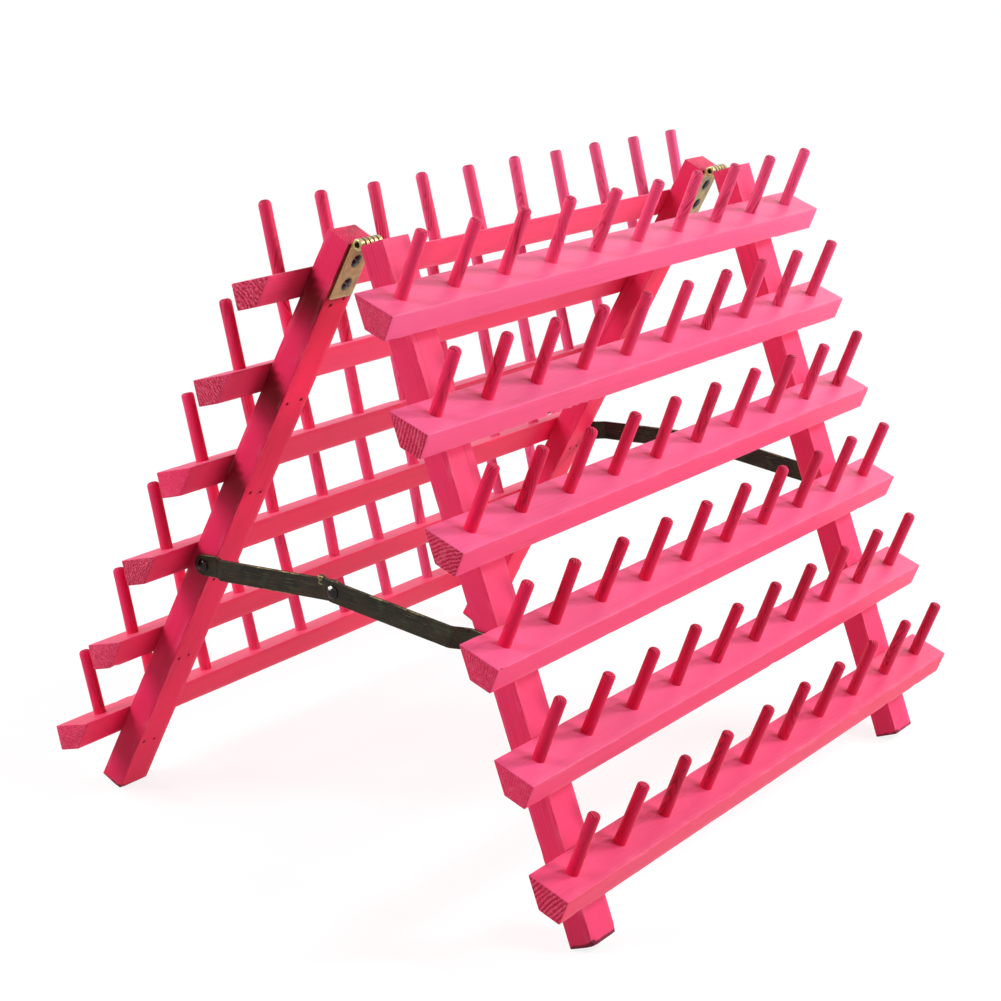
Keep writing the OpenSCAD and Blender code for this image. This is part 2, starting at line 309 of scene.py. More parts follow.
def shader(name, constants, varying):
    """A Principled material from constant socket values and a function that gives the varying ones."""
    material = bpy.data.materials.new(name)
    material.use_nodes = True
    tree = material.node_tree
    graph = Graph(tree)
    surface = tree.nodes["Principled BSDF"]
    for key, value in constants.items():
        surface.inputs[key].default_value = value
    for key, value in varying(graph).items():
        graph.feed(surface.inputs[key], value)
    return material


def geometry_tree(name, sizes):
    """A Geometry Nodes tree with a named float input for every size, and its graph and inputs."""
    tree = bpy.data.node_groups.new(name, "GeometryNodeTree")
    tree.is_modifier = True
    tree.interface.new_socket("Geometry", in_out="INPUT", socket_type="NodeSocketGeometry")
    for label in sizes:
        kind = {"Seed": "Int", "Count": "Int", "Material": "Material"}.get(label, "Float")
        tree.interface.new_socket(label, in_out="INPUT", socket_type="NodeSocket" + kind)
    tree.interface.new_socket("Geometry", in_out="OUTPUT", socket_type="NodeSocketGeometry")
    graph = Graph(tree)
    group = tree.nodes.new("NodeGroupInput")
    return graph, {output.name: Socket(graph, output) for output in group.outputs if output.name}


def close_tree(graph, shape, material):
    shape = graph.add("GeometryNodeRealizeInstances", None, {0: shape})
    shape = graph.add("GeometryNodeSetMaterial", None, {"Geometry": shape, "Material": material})
    output = graph.tree.nodes.new("NodeGroupOutput")
    graph.feed(output.inputs[0], shape)
    return graph.tree


def lathe(graph, profile, sides):
    """A closed turned form about Z, from its points (height, radius) in order."""
    line = graph.add("GeometryNodeMeshLine", None, {"Count": len(profile)})
    curve = graph.add("GeometryNodeMeshToCurve", None, {0: line})
    index = graph.add("GeometryNodeInputIndex")
    height, radius = (
        graph.add(
            "GeometryNodeIndexSwitch",
            {"data_type": "FLOAT", "choices": len(profile)},
            {"Index": index, **{k + 1: point[part] for k, point in enumerate(profile)}},
        )
        for part in (0, 1)
    )
    spot = graph.add("ShaderNodeCombineXYZ", None, {"Z": height})
    curve = graph.add("GeometryNodeSetPosition", None, {"Geometry": curve, "Position": spot})
    ring = graph.add("GeometryNodeCurvePrimitiveCircle", None, {"Resolution": sides, "Radius": 1.0})
    form = graph.add(
        "GeometryNodeCurveToMesh", None, {"Curve": curve, "Profile Curve": ring, "Scale": radius, "Fill Caps": True}
    )
    return graph.add("GeometryNodeMergeByDistance", None, {"Geometry": form, "Distance": 1e-6})


def store(graph, shape, name, value, kind="FLOAT_VECTOR", domain="POINT"):
    return graph.add(
        "GeometryNodeStoreNamedAttribute",
        {"data_type": kind, "domain": domain},
        {"Geometry": shape, "Name": name, "Value": value},
    )


def run_tree(name, mesh, tree, values):
    """The plain mesh that the tree makes of mesh, with the modifier gone."""
    source = bpy.data.objects.new(name, mesh)
    bpy.context.collection.objects.link(source)
    modifier = source.modifiers.new("Rule", "NODES")
    modifier.node_group = tree
    for label, value in values.items():
        modifier[tree.interface.items_tree[label].identifier] = value
    result = evaluated(source)
    bpy.data.objects.remove(source)
    return result


def evaluated(source):
    """The finished mesh of an object, its modifiers applied."""
    bpy.context.view_layer.update()
    graph = bpy.context.evaluated_depsgraph_get()
    return bpy.data.meshes.new_from_object(source.evaluated_get(graph), preserve_all_data_layers=True, depsgraph=graph)


def mesh_points(mesh):
    """The places of a mesh's vertices as rows."""
    co = np.zeros(len(mesh.vertices) * 3)
    mesh.vertices.foreach_get("co", co)
    return co.reshape(-1, 3)


def mesh_normals(mesh):
    """The directions in which a mesh's vertices face, as rows."""
    normals = np.zeros(len(mesh.vertices) * 3)
    mesh.vertices.foreach_get("normal", normals)
    return normals.reshape(-1, 3)


def points_mesh(name, places):
    """A vertex for each place, with its turn kept in an attribute."""
    mesh = bpy.data.meshes.new(name)
    mesh.from_pydata([place.to_translation() for place in places], [], [])
    turn = mesh.attributes.new("turn", "FLOAT_VECTOR", "POINT")
    turn.data.foreach_set("vector", [angle for place in places for angle in place.to_euler()])
    return mesh


def finish_piece(name, mesh, body, stands_for, material=None, sharp=35):
    """Links a mesh as a finished piece that rides on a body and stands for CAD nodes."""
    if material:
        mesh.materials.clear()
        mesh.materials.append(material)
    mesh.name = name
    mesh.polygons.foreach_set("use_smooth", [True] * len(mesh.polygons))
    mesh.set_sharp_from_angle(angle=math.radians(sharp))
    piece = bpy.data.objects.new(name, mesh)
    bpy.context.collection.objects.link(piece)
    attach(piece, body)
    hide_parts(*stands_for)
    return piece


# Materials


def painted_wood(name, streaks, gloss=0.3):
    """Satin pink paint over pine with painted light, painted shade and a painted shadow, from the attributes that the
    mesh keeps; streaks is how much grain shows.
    """
    paint = settings("paint")

    def varying(g):
        grain = g.attribute("grain", "Vector")
        cut, pit, worn, nick, tone, fade, rough, soot = (
            g.attribute(word) for word in ("cut", "pit", "worn", "nick", "tone", "fade", "rough", "soot")
        )
        along, across, deep = grain.split()
        warp = g.noise(grain.scaled(5, 55, 55), detail=2)
        radius = ((across - 0.052) ** 2 + (deep + 0.041) ** 2) ** 0.5
        ripple = g.noise(grain.scaled(30, 330, 330), detail=2)
        ring = ((radius * (math.tau / 0.0019) + warp * 6 + ripple * (rough * 9 + 3)).math("SINE") * 0.5 + 0.5) ** 1.4
        fibre = g.noise(grain.scaled(42, 1300, 1300), detail=3)
        blotch = g.noise(grain.scaled(13, 75, 75), detail=3)
        streak = g.noise(grain.scaled(30, 420, 420), detail=3).smooth(0.53, 0.72)
        pore = g.noise(grain.scaled(500, 1900, 1900), detail=1)
        grime = g.noise(grain.scaled(90, 260, 260), detail=2)
        band = g.add("ShaderNodeCombineXYZ", None, {"X": radius * 110, "Y": along * 3})
        bold = g.noise(band, detail=1).smooth(0.36, 0.56) * 0.65 + 0.35
        soaked = cut.smooth(0, 0.3) * 0.15 + cut * (ring * bold * (pore.smooth(0.3, 0.55) * 0.4 + 0.4) + pore.smooth(0.42, 0.62) * 0.25)
        stain = (blotch.smooth(0.42, 0.72) * ring * 0.6 + streak * blotch.smooth(0.45, 0.62) * 0.7 + fibre.smooth(0.58, 0.82) * 0.5) * streaks
        # random tone and the painted shade from the rail and peg tables
        deeper = (soaked + stain * (1 - cut) + tone * 0.5).math("MINIMUM", 1.0)
        fleck = g.noise(grain.scaled(90, 1000, 1000), detail=2)
        deeper = (deeper + rough * fleck.smooth(0.50, 0.62) * 0.5).math("MINIMUM", 1.0)
        # painted light: lighter paint where light falls, deeper paint where it seldom reaches
        colour = g.mix(deeper, g.mix(fade, tuple(paint.shaded_pink), tuple(paint.pink)), tuple(paint.deep))
        # painted shade: the paint goes deep crimson where the painted shade attribute is set
        colour = g.mix(soot * 0.95, colour, (0.20, 0.0, 0.004))
        rubbed = worn * grime.smooth(0.46, 0.72) * 0.35 + cut * (1 - ring).smooth(0.6, 1.0) * pore.smooth(0.62, 0.4) * 0.4
        rubbed = rubbed + rough * fleck.smooth(0.46, 0.34) * 0.45
        colour = g.mix(rubbed, colour, tuple(paint.pale))
        smear = (pit + nick * 0.6 + (grime - 0.5) * 0.7).smooth(0.42, 0.76)
        colour = g.mix(smear * 0.9, colour, (0.09, 0.004, 0.014))
        height = ring * (0.00002 + cut * 0.00012) + fibre * 0.00004 + pore * cut * 0.0001 + blotch * 0.00008
        return {
            "Base Color": colour,
            "Roughness": 0.45 + fibre * 0.14 + cut * 0.35 - worn * 0.06,
            "Normal": g.bump(height, 0.8),
        }

    return shader(name, {"Specular IOR Level": gloss, "Sheen Weight": 0.08, "Sheen Roughness": 0.4}, varying)


def brassed_steel():
    """Bright brassed steel with drawn lines, small pits and duller hollows, and painted shade in the gaps between the
    knuckles and round the screw heads.
    """
    metal = settings("metal")

    def varying(g):
        place = g.add("ShaderNodeTexCoord", output="Object")
        worn, gap = g.attribute("worn"), g.attribute("gap")
        cloud = g.noise(place, 240, 3)
        broad = g.noise(place, 95, 2)
        drawn = g.noise(place.scaled(5200, 260, 260), detail=2)
        pitted = g.noise(place, 1900, 2).smooth(0.62, 0.75)
        base = g.mix(cloud.smooth(0.35, 0.7) * 0.6, tuple(metal.brass), (0.27, 0.17, 0.06))
        base = g.mix(broad.smooth(0.48, 0.68) * 0.55, base, (0.20, 0.115, 0.05))
        base = g.mix(broad.smooth(0.46, 0.3) * 0.5, base, (0.55, 0.42, 0.15))
        base = g.mix(g.noise(place, 430, 3).smooth(0.54, 0.7) * 0.25, base, (0.46, 0.21, 0.11))
        base = g.mix(worn.smooth(0.5, 0.95) * 0.7, base, (0.62, 0.52, 0.26))
        base = g.mix((1 - worn).smooth(0.55, 0.85) * 0.8 + pitted * 0.2, base, (0.10, 0.07, 0.03))
        # painted shade where the gap attribute is set: between the knuckles and round the countersunk screws
        base = g.mix(gap * 0.9, base, (0.020, 0.014, 0.006))
        return {
            "Base Color": base,
            "Metallic": 0.7 - pitted * 0.3,
            "Roughness": 0.26 + cloud * 0.16 + pitted * 0.2 - worn * 0.08 + gap * 0.25,
            "Normal": g.bump(drawn * 0.000012 - pitted * 0.00004, 0.8),
        }

    return shader("Brassed steel", {}, varying)


def bronzed_steel():
    """Antique bronze finish with lengthwise scratches, rubbed through to brass along the edges."""
    metal = settings("metal")

    def varying(g):
        place = g.attribute("own", "Vector")
        worn = g.attribute("worn")
        cloud = g.noise(place.scaled(60, 130, 130), 1, 4, 0.6)
        speck = g.noise(place.scaled(420, 900, 900), 1, 4, 0.65)
        brushed = g.noise(place.scaled(110, 2300, 2300), detail=3)
        base = g.mix(cloud.smooth(0.38, 0.66), tuple(metal.bronze), (0.016, 0.014, 0.010))
        base = g.mix(g.noise(place, 210, 3).smooth(0.5, 0.66) * 0.7, base, (0.028, 0.036, 0.018))
        base = g.mix(brushed.smooth(0.52, 0.72) * speck.smooth(0.42, 0.58) * 0.4, base, (0.11, 0.07, 0.035))
        base = g.mix((brushed.smooth(0.5, 0.3) * 0.5 + speck.smooth(0.38, 0.26) * 0.5).math("MINIMUM", 1.0), base, (0.010, 0.009, 0.009))
        edge = (worn + (speck - 0.5) * 1.1 + (cloud - 0.5) * 1.2).smooth(0.92, 1.22)
        scuffed = (brushed * 0.6 + cloud * 0.5).smooth(0.66, 0.76) * 0.2
        return {
            "Base Color": g.mix((edge * 0.75 + scuffed).math("MINIMUM", 1.0), base, tuple(metal.rubbed)),
            "Metallic": 0.75 + edge * 0.2,
            "Roughness": 0.44 + cloud * 0.14 - edge * 0.14 - scuffed * 0.2,
            "Normal": g.bump(cloud * 0.00005 + speck * 0.00004 + brushed * 0.00002, 0.7),
        }

    return shader("Bronzed steel", {}, varying)


def turned_steel(name, colour, rough, patina, lacquer):
    """Steel of screws, rivets and brads: fine turning marks and a patchy patina under thin lacquer, with a painted
    highlight where the mesh marks one.
    """

    def varying(g):
        place = g.add("ShaderNodeTexCoord", output="Object")
        cloud = g.noise(place, 420, 3)
        speck = g.noise(place, 2600, 2)
        base = g.mix(cloud.smooth(0.45, 0.7) * patina, tuple(colour), (0.05, 0.03, 0.022))
        return {
            # painted highlight: near-white steel where the rivet's highlight attribute is set
            "Base Color": g.mix(g.attribute("rubbed"), base, (0.85, 0.83, 0.80)),
            "Roughness": rough + cloud * 0.18,
            "Normal": g.bump(speck * 0.000015 + cloud * 0.00002, 0.6),
        }

    return shader(name, {"Metallic": 0.9, "Coat Weight": lacquer, "Coat Roughness": 0.06}, varying)


# Sawn battens


def inset_corners(outline, inset):
    """The corners of a convex outline, listed anticlockwise, moved inwards by inset."""
    corners = []
    count = len(outline)
    for k in range(count):
        before, here, after = (Vector(outline[(k + d) % count]) for d in (-1, 0, 1))
        u, w = (before - here).normalized(), (after - here).normalized()
        corners.append(here + (u + w) * (inset / abs(u.x * w.y - u.y * w.x)))
    return corners


def rounded_ring(outline, radius, inset, steps=4, pitch=0.0032):
    """Points round a convex outline with rounded corners: [(point, outward direction, corner number or None)]."""
    ring = []
    corners = inset_corners(outline, inset)
    radius = max(radius - inset, 0.00008)
    count = len(corners)
    full = [Vector(p) for p in outline]
    for k in range(count):
        here, after, before = corners[k], corners[(k + 1) % count], corners[k - 1]
        u, w = (before - here).normalized(), (after - here).normalized()
        half = u.angle(w) / 2
        centre = here + (u + w).normalized() * (radius / math.sin(half))
        start = Vector((u.y, -u.x)) if Vector((u.y, -u.x)).dot(w) < 0 else Vector((-u.y, u.x))
        end = Vector((w.y, -w.x)) if Vector((w.y, -w.x)).dot(u) < 0 else Vector((-w.y, w.x))
        for s in range(steps + 1):
            way = start.slerp(end, s / steps)
            ring.append((centre + way * radius, way, k))
        flat = max(1, round((full[(k + 1) % count] - full[k]).length / pitch))
        reach = radius / math.tan(half)
        nxt = (before, here, after)
        v = corners[(k + 2) % count]
        next_half = (here - after).normalized().angle((v - after).normalized()) / 2
        stop = after - w * (radius / math.tan(next_half))
        begin = here + w * reach
        for s in range(1, flat):
            ring.append((begin.lerp(stop, s / flat), end, None))
    return ring


def stations(low, high, ends, pitch):
    """Places along a batten and how far its outline is drawn in there, for eased ends."""
    eased = [(0, 1.0), (0.12, 0.45), (0.45, 0.12), (1.0, 0)]
    count = max(2, round((high - low - 2 * ends) / pitch))
    middle = [(low + ends + (high - low - 2 * ends) * k / count, 0) for k in range(1, count)]
    return (
        [(low + ends * a, ends * b) for a, b in eased] + middle + [(high - ends * a, ends * b) for a, b in reversed(eased)]
    )


def batten(name, outline, low, high, holes, chips, grain, painted_lights, random):
    """A sawn batten along its own X: rounded wavering edges, nicks, chips and drilled holes, with its paint data.

    holes are (matrix, radius, depth, smear), chips are (x, corner, half width, depth), grain is as in END_GRAIN
    and the painted light of each side of the outline says how much lighter its paint is painted where light falls and
    how deep a painted shade it has."""
    wood = settings("wood")
    nicks = list(chips)
    for _ in range(random.randint(7, 12)):
        nicks.append(
            (
                random.uniform(low, high),
                random.randrange(len(outline)),
                random.uniform(0.0012, 0.0045),
                wood.nick_depth * random.uniform(0.25, 0.75),
            )
        )
    mesh = bpy.data.meshes.new(name)
    shape = bmesh.new()
    nicked = shape.verts.layers.float.new("nick")
    rings = []
    drift = Vector((random.uniform(0, 9), random.uniform(0, 9), random.uniform(0, 9)))
    for x, inset in stations(low, high, 0.0005, 0.003):
        verts = []
        for point, way, corner in rounded_ring(outline, wood.edge_round, inset):
            spot = Vector((x, *point))
            gouge = 0.0
            dip = wood.waver * (0.5 + 0.5 * noise.noise(Vector((x * 22, spot.y * 130, spot.z * 130)) + drift))
            if corner is not None:
                dip += wood.waver * 0.8 * abs(noise.noise(Vector((x * 160, corner * 5.0, 0)) + drift))
                for at, which, half, depth in nicks:
                    if which == corner and abs(x - at) < half:
                        rough = 0.75 + 0.5 * noise.noise(spot * 900 + drift)
                        gouge += depth * (1 - ((x - at) / half) ** 2) * rough
            spot -= Vector((0, *way)) * (dip + gouge)
            vert = shape.verts.new(spot)
            vert[nicked] = gouge / wood.nick_depth
            verts.append(vert)
        rings.append(verts)
    for first, second in zip(rings, rings[1:]):
        for k in range(len(first)):
            j = (k + 1) % len(first)
            shape.faces.new((first[k], first[j], second[j], second[k]))
    shape.faces.new(list(reversed(rings[0])))
    shape.faces.new(rings[-1])
    bmesh.ops.recalc_face_normals(shape, faces=shape.faces)
    shape.to_mesh(mesh)
    shape.free()
    if holes:
        mesh = drilled(name, mesh, holes)
    paint_data(mesh, outline, low, high, holes, grain, painted_lights, random)
    return mesh


def drilled(name, mesh, holes):
    """The mesh with round holes cut by one exact Boolean."""
    cutter_mesh = bpy.data.meshes.new(name + "_drill")
    shape = bmesh.new()
    for place, radius, depth, _ in holes:
        cut = bmesh.ops.create_cone(
            shape, cap_ends=True, segments=20, radius1=radius, radius2=radius, depth=depth + 0.004
        )
        bmesh.ops.translate(shape, verts=cut["verts"], vec=(0, 0, depth / 2 - 0.002))
        bmesh.ops.transform(shape, matrix=place, verts=cut["verts"])
    shape.to_mesh(cutter_mesh)
    shape.free()
    solid, cutter = bpy.data.objects.new(name, mesh), bpy.data.objects.new(name + "_drill", cutter_mesh)
    for piece in (solid, cutter):
        bpy.context.collection.objects.link(piece)
    boolean = solid.modifiers.new("Drill", "BOOLEAN")
    boolean.operation, boolean.solver, boolean.object = "DIFFERENCE", "EXACT", cutter
    result = evaluated(solid)
    bpy.data.objects.remove(solid)
    bpy.data.objects.remove(cutter)
    return result


def paint_data(mesh, outline, low, high, holes, rings, painted_lights, random):
    """Keeps where each vertex lies in the wood, how worn it is and how near a hole, and how each face is sawn, with its
    painted light and painted shade.
    """
    count = len(mesh.vertices)
    co = np.zeros(count * 3)
    mesh.vertices.foreach_get("co", co)
    co = co.reshape(-1, 3)
    away = np.full(count, 1.0)
    for corner in outline:
        away = np.minimum(away, np.hypot(co[:, 1] - corner[0], co[:, 2] - corner[1]))
    ends = np.minimum(co[:, 0] - low, high - co[:, 0])
    worn = np.clip(1.15 - away / 0.0014, 0, 1)
    worn = np.maximum(worn, np.clip(0.9 - np.abs(ends - 0.0003) / 0.0006, 0, 1) * 0.6)
    pit = np.zeros(count)
    for place, radius, _, smear in holes:
        if smear:
            centre = np.array(place.to_translation())
            gap = np.linalg.norm(co - centre, axis=1)
            pit = np.maximum(pit, np.clip(1.25 - gap / (radius * smear), 0, 1))
    turn, close, shown, rough = rings
    sine, cosine = math.sin(turn) * close, math.cos(turn) * close
    y, z = co[:, 1], co[:, 2]
    grain = np.stack((co[:, 0] + random.uniform(0, 9), cosine * y - sine * z, sine * y + cosine * z), 1)
    grain[:, 1:] += (random.uniform(-0.01, 0.01), random.uniform(-0.01, 0.01))
    keep(mesh, "grain", grain, "FLOAT_VECTOR")
    keep(mesh, "worn", worn)
    keep(mesh, "pit", pit)
    normals = np.zeros(len(mesh.polygons) * 3)
    mesh.polygons.foreach_get("normal", normals)
    normals = normals.reshape(-1, 3)
    ends = np.abs(normals[:, 0]) > 0.8
    keep(mesh, "cut", ends * shown, domain="FACE")
    keep(mesh, "rough", ends * rough, domain="FACE")
    corners = np.array(outline)
    sides = np.roll(corners, -1, 0) - corners
    sides /= np.linalg.norm(sides, axis=1)[:, None]
    towards = normals[:, 1:] @ np.stack((sides[:, 1], -sides[:, 0]))
    # painted light and painted shade of each face, by which side of the outline it faces; end faces get their own
    fade, tone = np.array((*painted_lights, (0.18, 0.2)))[np.where(ends, len(painted_lights), towards.argmax(1))].T
    keep(mesh, "fade", fade, domain="FACE")
    keep(mesh, "tone", tone, domain="FACE")


def keep(mesh, name, values, kind="FLOAT", domain="POINT"):
    """Writes an attribute of the mesh."""
    attribute = mesh.attributes.get(name) or mesh.attributes.new(name, kind, domain)
    attribute.data.foreach_set("vector" if kind == "FLOAT_VECTOR" else "value", np.asarray(values, np.float32).ravel())


# Places


def rail_top(number):
    """Distance down the leg from the hinge axis to the top edge of a rail."""
    wood = settings("wood")
    return wood.rail_first + (number - 1) * wood.rail_pitch


def on_rail(panel, number):
    """On the top face of a rail, with Z square to it and Y across it."""
    wood = settings("wood")
    return (
        PANELS[panel]
        @ Matrix.Translation((0, wood.leg_face + wood.leg_depth, -rail_top(number)))
        @ Matrix.Rotation(-wood.rail_bevel, 4, "X")
    )


def on_leg(panel, side):
    """In a leg, with X up it, Y along the rails from its middle and Z outwards from its inner face."""
    wood = settings("wood")
    upright = Matrix(((0, 1, 0, 0), (0, 0, 1, 0), (1, 0, 0, 0), (0, 0, 0, 1)))
    return PANELS[panel] @ Matrix.Translation((ALONG[panel] * side * wood.leg_place, wood.leg_face, 0)) @ upright


# Brads as they were driven: leg and rail, each brad's drop below the rail's top edge and its place across the leg
DRIVEN = {
    ("back", -1, 1): ((0.0137, -0.0040), (0.0114, 0.0045)),
    ("back", -1, 2): ((0.0157, -0.0053), (0.0153, 0.0047)),
    ("back", -1, 3): ((0.0150, -0.0046), (0.0166, 0.0035)),
    ("back", -1, 5): ((0.0126, -0.0058), (0.0126, 0.0012)),
    ("back", -1, 6): ((0.0149, -0.0058), (0.0161, 0.0021)),
}


def brad_places(panel, side):
    """Where brads are driven by hand through a leg, in the leg's own directions, with Z driving outwards."""
    random = Random("%s %d" % (panel, side))
    places = []
    for number in range(1, RAILS + 1):
        loose = [(0.015 + random.uniform(-1, 1) * 0.0013, s * 0.0042 + random.uniform(-1, 1) * 0.0009) for s in (-1, 1)]
        for drop, across in DRIVEN.get((panel, side, number), loose):
            places.append(Matrix.Translation((-rail_top(number) - drop, across, 0)))
    return places


def on_stay(panel, side):
    """On the side of a leg at its stay's pivot, with X to the elbow and Z outwards."""
    name = "left_%s_stay_swing" % panel
    x, y, z = JOINTS[name]["pos_m"]
    low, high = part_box("left_rivet_head")
    elbow_z = (low.z + high.z) / 2
    tilt = math.atan2(elbow_z - z, abs(y))
    place = (
        Matrix.Translation((-abs(x), abs(y), z))
        @ Matrix.Rotation(-math.pi / 2, 4, "Z")
        @ Matrix.Rotation(math.pi / 2, 4, "X")
        @ Matrix.Rotation(tilt, 4, "Z")
    )
    return Matrix.Diagonal((-side, ALONG[panel], 1, 1)) @ place


# Pressed metal


def cad_copy(name, node):
    """A merged copy of a CAD node's mesh."""
    mesh = frame["nodes"][node].data.copy()
    mesh.materials.clear()
    shape = bmesh.new()
    shape.from_mesh(mesh)
    bmesh.ops.remove_doubles(shape, verts=shape.verts, dist=1e-6)
    shape.to_mesh(mesh)
    shape.free()
    return mesh


def pressed(name, node, place, voxel, rounding, dents, seed, shaped=None):
    """A CAD node's form remeshed finely in its own directions, with softened edges, small dents and wear data."""
    mesh = cad_copy(name, node)
    mesh.transform(place.inverted())
    if place.determinant() < 0:
        mesh.flip_normals()
    source = bpy.data.objects.new(name, mesh)
    bpy.context.collection.objects.link(source)
    remesh = source.modifiers.new("Press", "REMESH")
    remesh.mode, remesh.voxel_size = "VOXEL", voxel
    result = evaluated(source)
    bpy.data.objects.remove(source)
    count = len(result.vertices)
    co = np.zeros(count * 3)
    result.vertices.foreach_get("co", co)
    co = co.reshape(-1, 3)
    edges = np.zeros(len(result.edges) * 2, int)
    result.edges.foreach_get("vertices", edges)
    a, b = edges.reshape(-1, 2).T
    links = np.bincount(np.concatenate((a, b)), minlength=count)[:, None]

    def averaged(values):
        total = np.zeros_like(values)
        np.add.at(total, a, values[b])
        np.add.at(total, b, values[a])
        return total / links

    for _ in range(rounding):
        co += (averaged(co) - co) * 0.5
    result.vertices.foreach_set("co", co.ravel())
    result.update()
    normals = np.zeros(count * 3)
    result.vertices.foreach_get("normal", normals)
    normals = normals.reshape(-1, 3)
    bulge = -((averaged(co) - co) * normals).sum(1)[:, None] / voxel
    for _ in range(3):
        bulge = averaged(bulge) * 0.6 + bulge * 0.4
    worn = np.clip(0.5 + bulge[:, 0] * 6, 0, 1)
    if shaped:
        co = shaped(co)
        result.vertices.foreach_set("co", co.ravel())
        result.update()
    drift = Vector((seed * 3.1, seed * 1.7, 0))
    if dents:
        depth = [noise.noise(Vector(p) * 160 + drift) + 0.6 * noise.noise(Vector(p) * 420 + drift) for p in co]
        co -= normals * (np.array(depth)[:, None] * dents)
        result.vertices.foreach_set("co", co.ravel())
    keep(result, "worn", worn)
    keep(result, "own", co, "FLOAT_VECTOR")
    result.transform(place)
    if place.determinant() < 0:
        result.flip_normals()
    result.update()
    return result


# Operators


class RACK_OT_rails(bpy.types.Operator):
    """Build the bevelled rails with their nicked edges and the blind holes for the pegs"""

    bl_idname = "rack.rails"
    bl_label = "Rails"

    def execute(self, context):
        wood, pegs = settings("wood"), settings("pegs")
        slant = wood.rail_depth * math.tan(wood.rail_bevel)
        outline = [(0, 0), (slant, -wood.rail_depth), (wood.rail_width, -wood.rail_depth), (wood.rail_width, 0)]
        half = RAIL_LENGTH / 2
        pitch = RAIL_LENGTH / pegs.count
        paint = painted_wood("Painted pine rail", 0.2)
        down = Matrix.Rotation(math.pi, 4, "X")
        holes = [
            (
                Matrix.Translation(((k - (pegs.count - 1) / 2) * pitch, wood.rail_width / 2, 0)) @ down,
                pegs.hole,
                pegs.seat,
                0,
            )
            for k in range(pegs.count)
        ]
        for panel in PANELS:
            for number in range(1, RAILS + 1):
                name = "%s_rail_%d" % (panel, number)
                random = Random("%d %s" % (wood.seed, name))
                chips = [
                    (
                        ALONG[panel] * random.uniform(first, last),
                        corner,
                        width * random.uniform(0.4, 1),
                        depth * random.uniform(0.4, 1),
                    )
                    for place, first, last, corner, count, width, depth in RAIL_CHIPS
                    if place == name
                    for _ in range(count)
                ]
                # painted light and painted shade for this rail's sides
                bevel, bottom, face, top, tone, _, _ = PAINTED_LIGHT[panel][number - 1]
                painted_lights = ((bevel, 0.0), (bottom, 0.0), (face, tone), (top, tone))
                mesh = batten(name, outline, 0.00002 - half, half - 0.00002, holes, chips, END_GRAIN[name], painted_lights, random)
                if panel == "back":
                    # painted shade on the back rails' inner faces just outside the legs, fading along the rail and
                    # weaker down the panel
                    past = np.abs(mesh_points(mesh)[:, 0]) - wood.leg_place - wood.leg_width / 2
                    dark = np.clip(1 - past / 0.018, 0, 1) * (past > -0.004) * np.clip(-mesh_normals(mesh)[:, 1] * 4 - 1, 0, 1)
                    keep(mesh, "soot", dark * np.interp(number, (3, 6), (0.7, 0.25)))
                mesh.transform(on_rail(panel, number))
                finish_piece(name + "_painted", mesh, panel + "_panel", [name], paint)
        return {"FINISHED"}


# Painted light on each rail, from the first down: how light the paint is painted on the bevel, bottom, front edge and
# top, the depth of painted shade on the front edge and top, and its pegs' painted light and painted shade
PAINTED_LIGHT = {
    "front": (
        (0.0, 0.12, 0.87, 0.80, 0.0, 0.55, 0.13),
        (0.0, 0.12, 0.72, 0.97, 0.0, 0.42, 0.18),
        (0.0, 0.12, 0.53, 0.95, 0.0, 0.27, 0.26),
        (0.0, 0.12, 0.51, 0.87, 0.05, 0.15, 0.36),
        (0.0, 0.12, 0.43, 0.82, 0.15, 0.07, 0.46),
        (0.0, 0.12, 0.12, 0.62, 0.3, 0.02, 0.56),
    ),
    "back": (
        (0.34, 0.3, 0.6, 0.85, 0.05, 0.90, 0.2),
        (0.22, 0.25, 0.5, 0.72, 0.05, 0.88, 0.2),
        (0.10, 0.2, 0.4, 0.60, 0.05, 0.85, 0.2),
        (0.0, 0.12, 0.33, 0.48, 0.05, 0.82, 0.25),
        (0.0, 0.12, 0.30, 0.40, 0.05, 0.78, 0.3),
        (0.0, 0.12, 0.25, 0.32, 0.05, 0.75, 0.3),
    ),
}
# How the growth rings cross a rail's end: turn in radians, closeness of the rings, how much they show and how rough they are
END_GRAIN = {
    "front_rail_1": (1.2, 2.3, 0.6, 0.5),
    "front_rail_2": (2.35, 1.15, 1.0, 0.2),
    "front_rail_3": (-0.06, 1.1, 1.0, 0.25),
    "front_rail_4": (-0.9, 1.6, 0.3, 0.5),
    "front_rail_5": (2.3, 1.5, 0.25, 0.3),
    "front_rail_6": (-0.4, 1.0, 0.9, 0.1),
    "back_rail_1": (-0.28, 0.9, 1.0, 1.0),
    "back_rail_2": (-0.21, 1.3, 0.9, 0.8),
    "back_rail_3": (0.6, 0.9, 0.08, 0.3),
    "back_rail_4": (1.4, 1.7, 1.0, 1.0),
    "back_rail_5": (1.0, 1.9, 0.3, 0.9),
    "back_rail_6": (0.9, 1.4, 0.2, 0.6),
}
# Damaged stretches: rail, from and to along the rack, corner of the section, chips, largest half width and depth
RAIL_CHIPS = [
    ("front_rail_3", 0.192, 0.199, 3, 2, 0.004, 0.0012),
    ("front_rail_2", -0.125, -0.055, 2, 22, 0.0022, 0.0007),
    ("front_rail_2", 0.10, 0.18, 2, 6, 0.003, 0.0005),
    ("front_rail_1", 0.05, 0.19, 2, 6, 0.004, 0.0005),
    ("front_rail_4", -0.199, -0.195, 3, 3, 0.0015, 0.0008),
    ("back_rail_4", -0.199, -0.19, 0, 4, 0.0015, 0.0009),
    ("back_rail_5", -0.198, -0.194, 1, 2, 0.003, 0.0009),
]


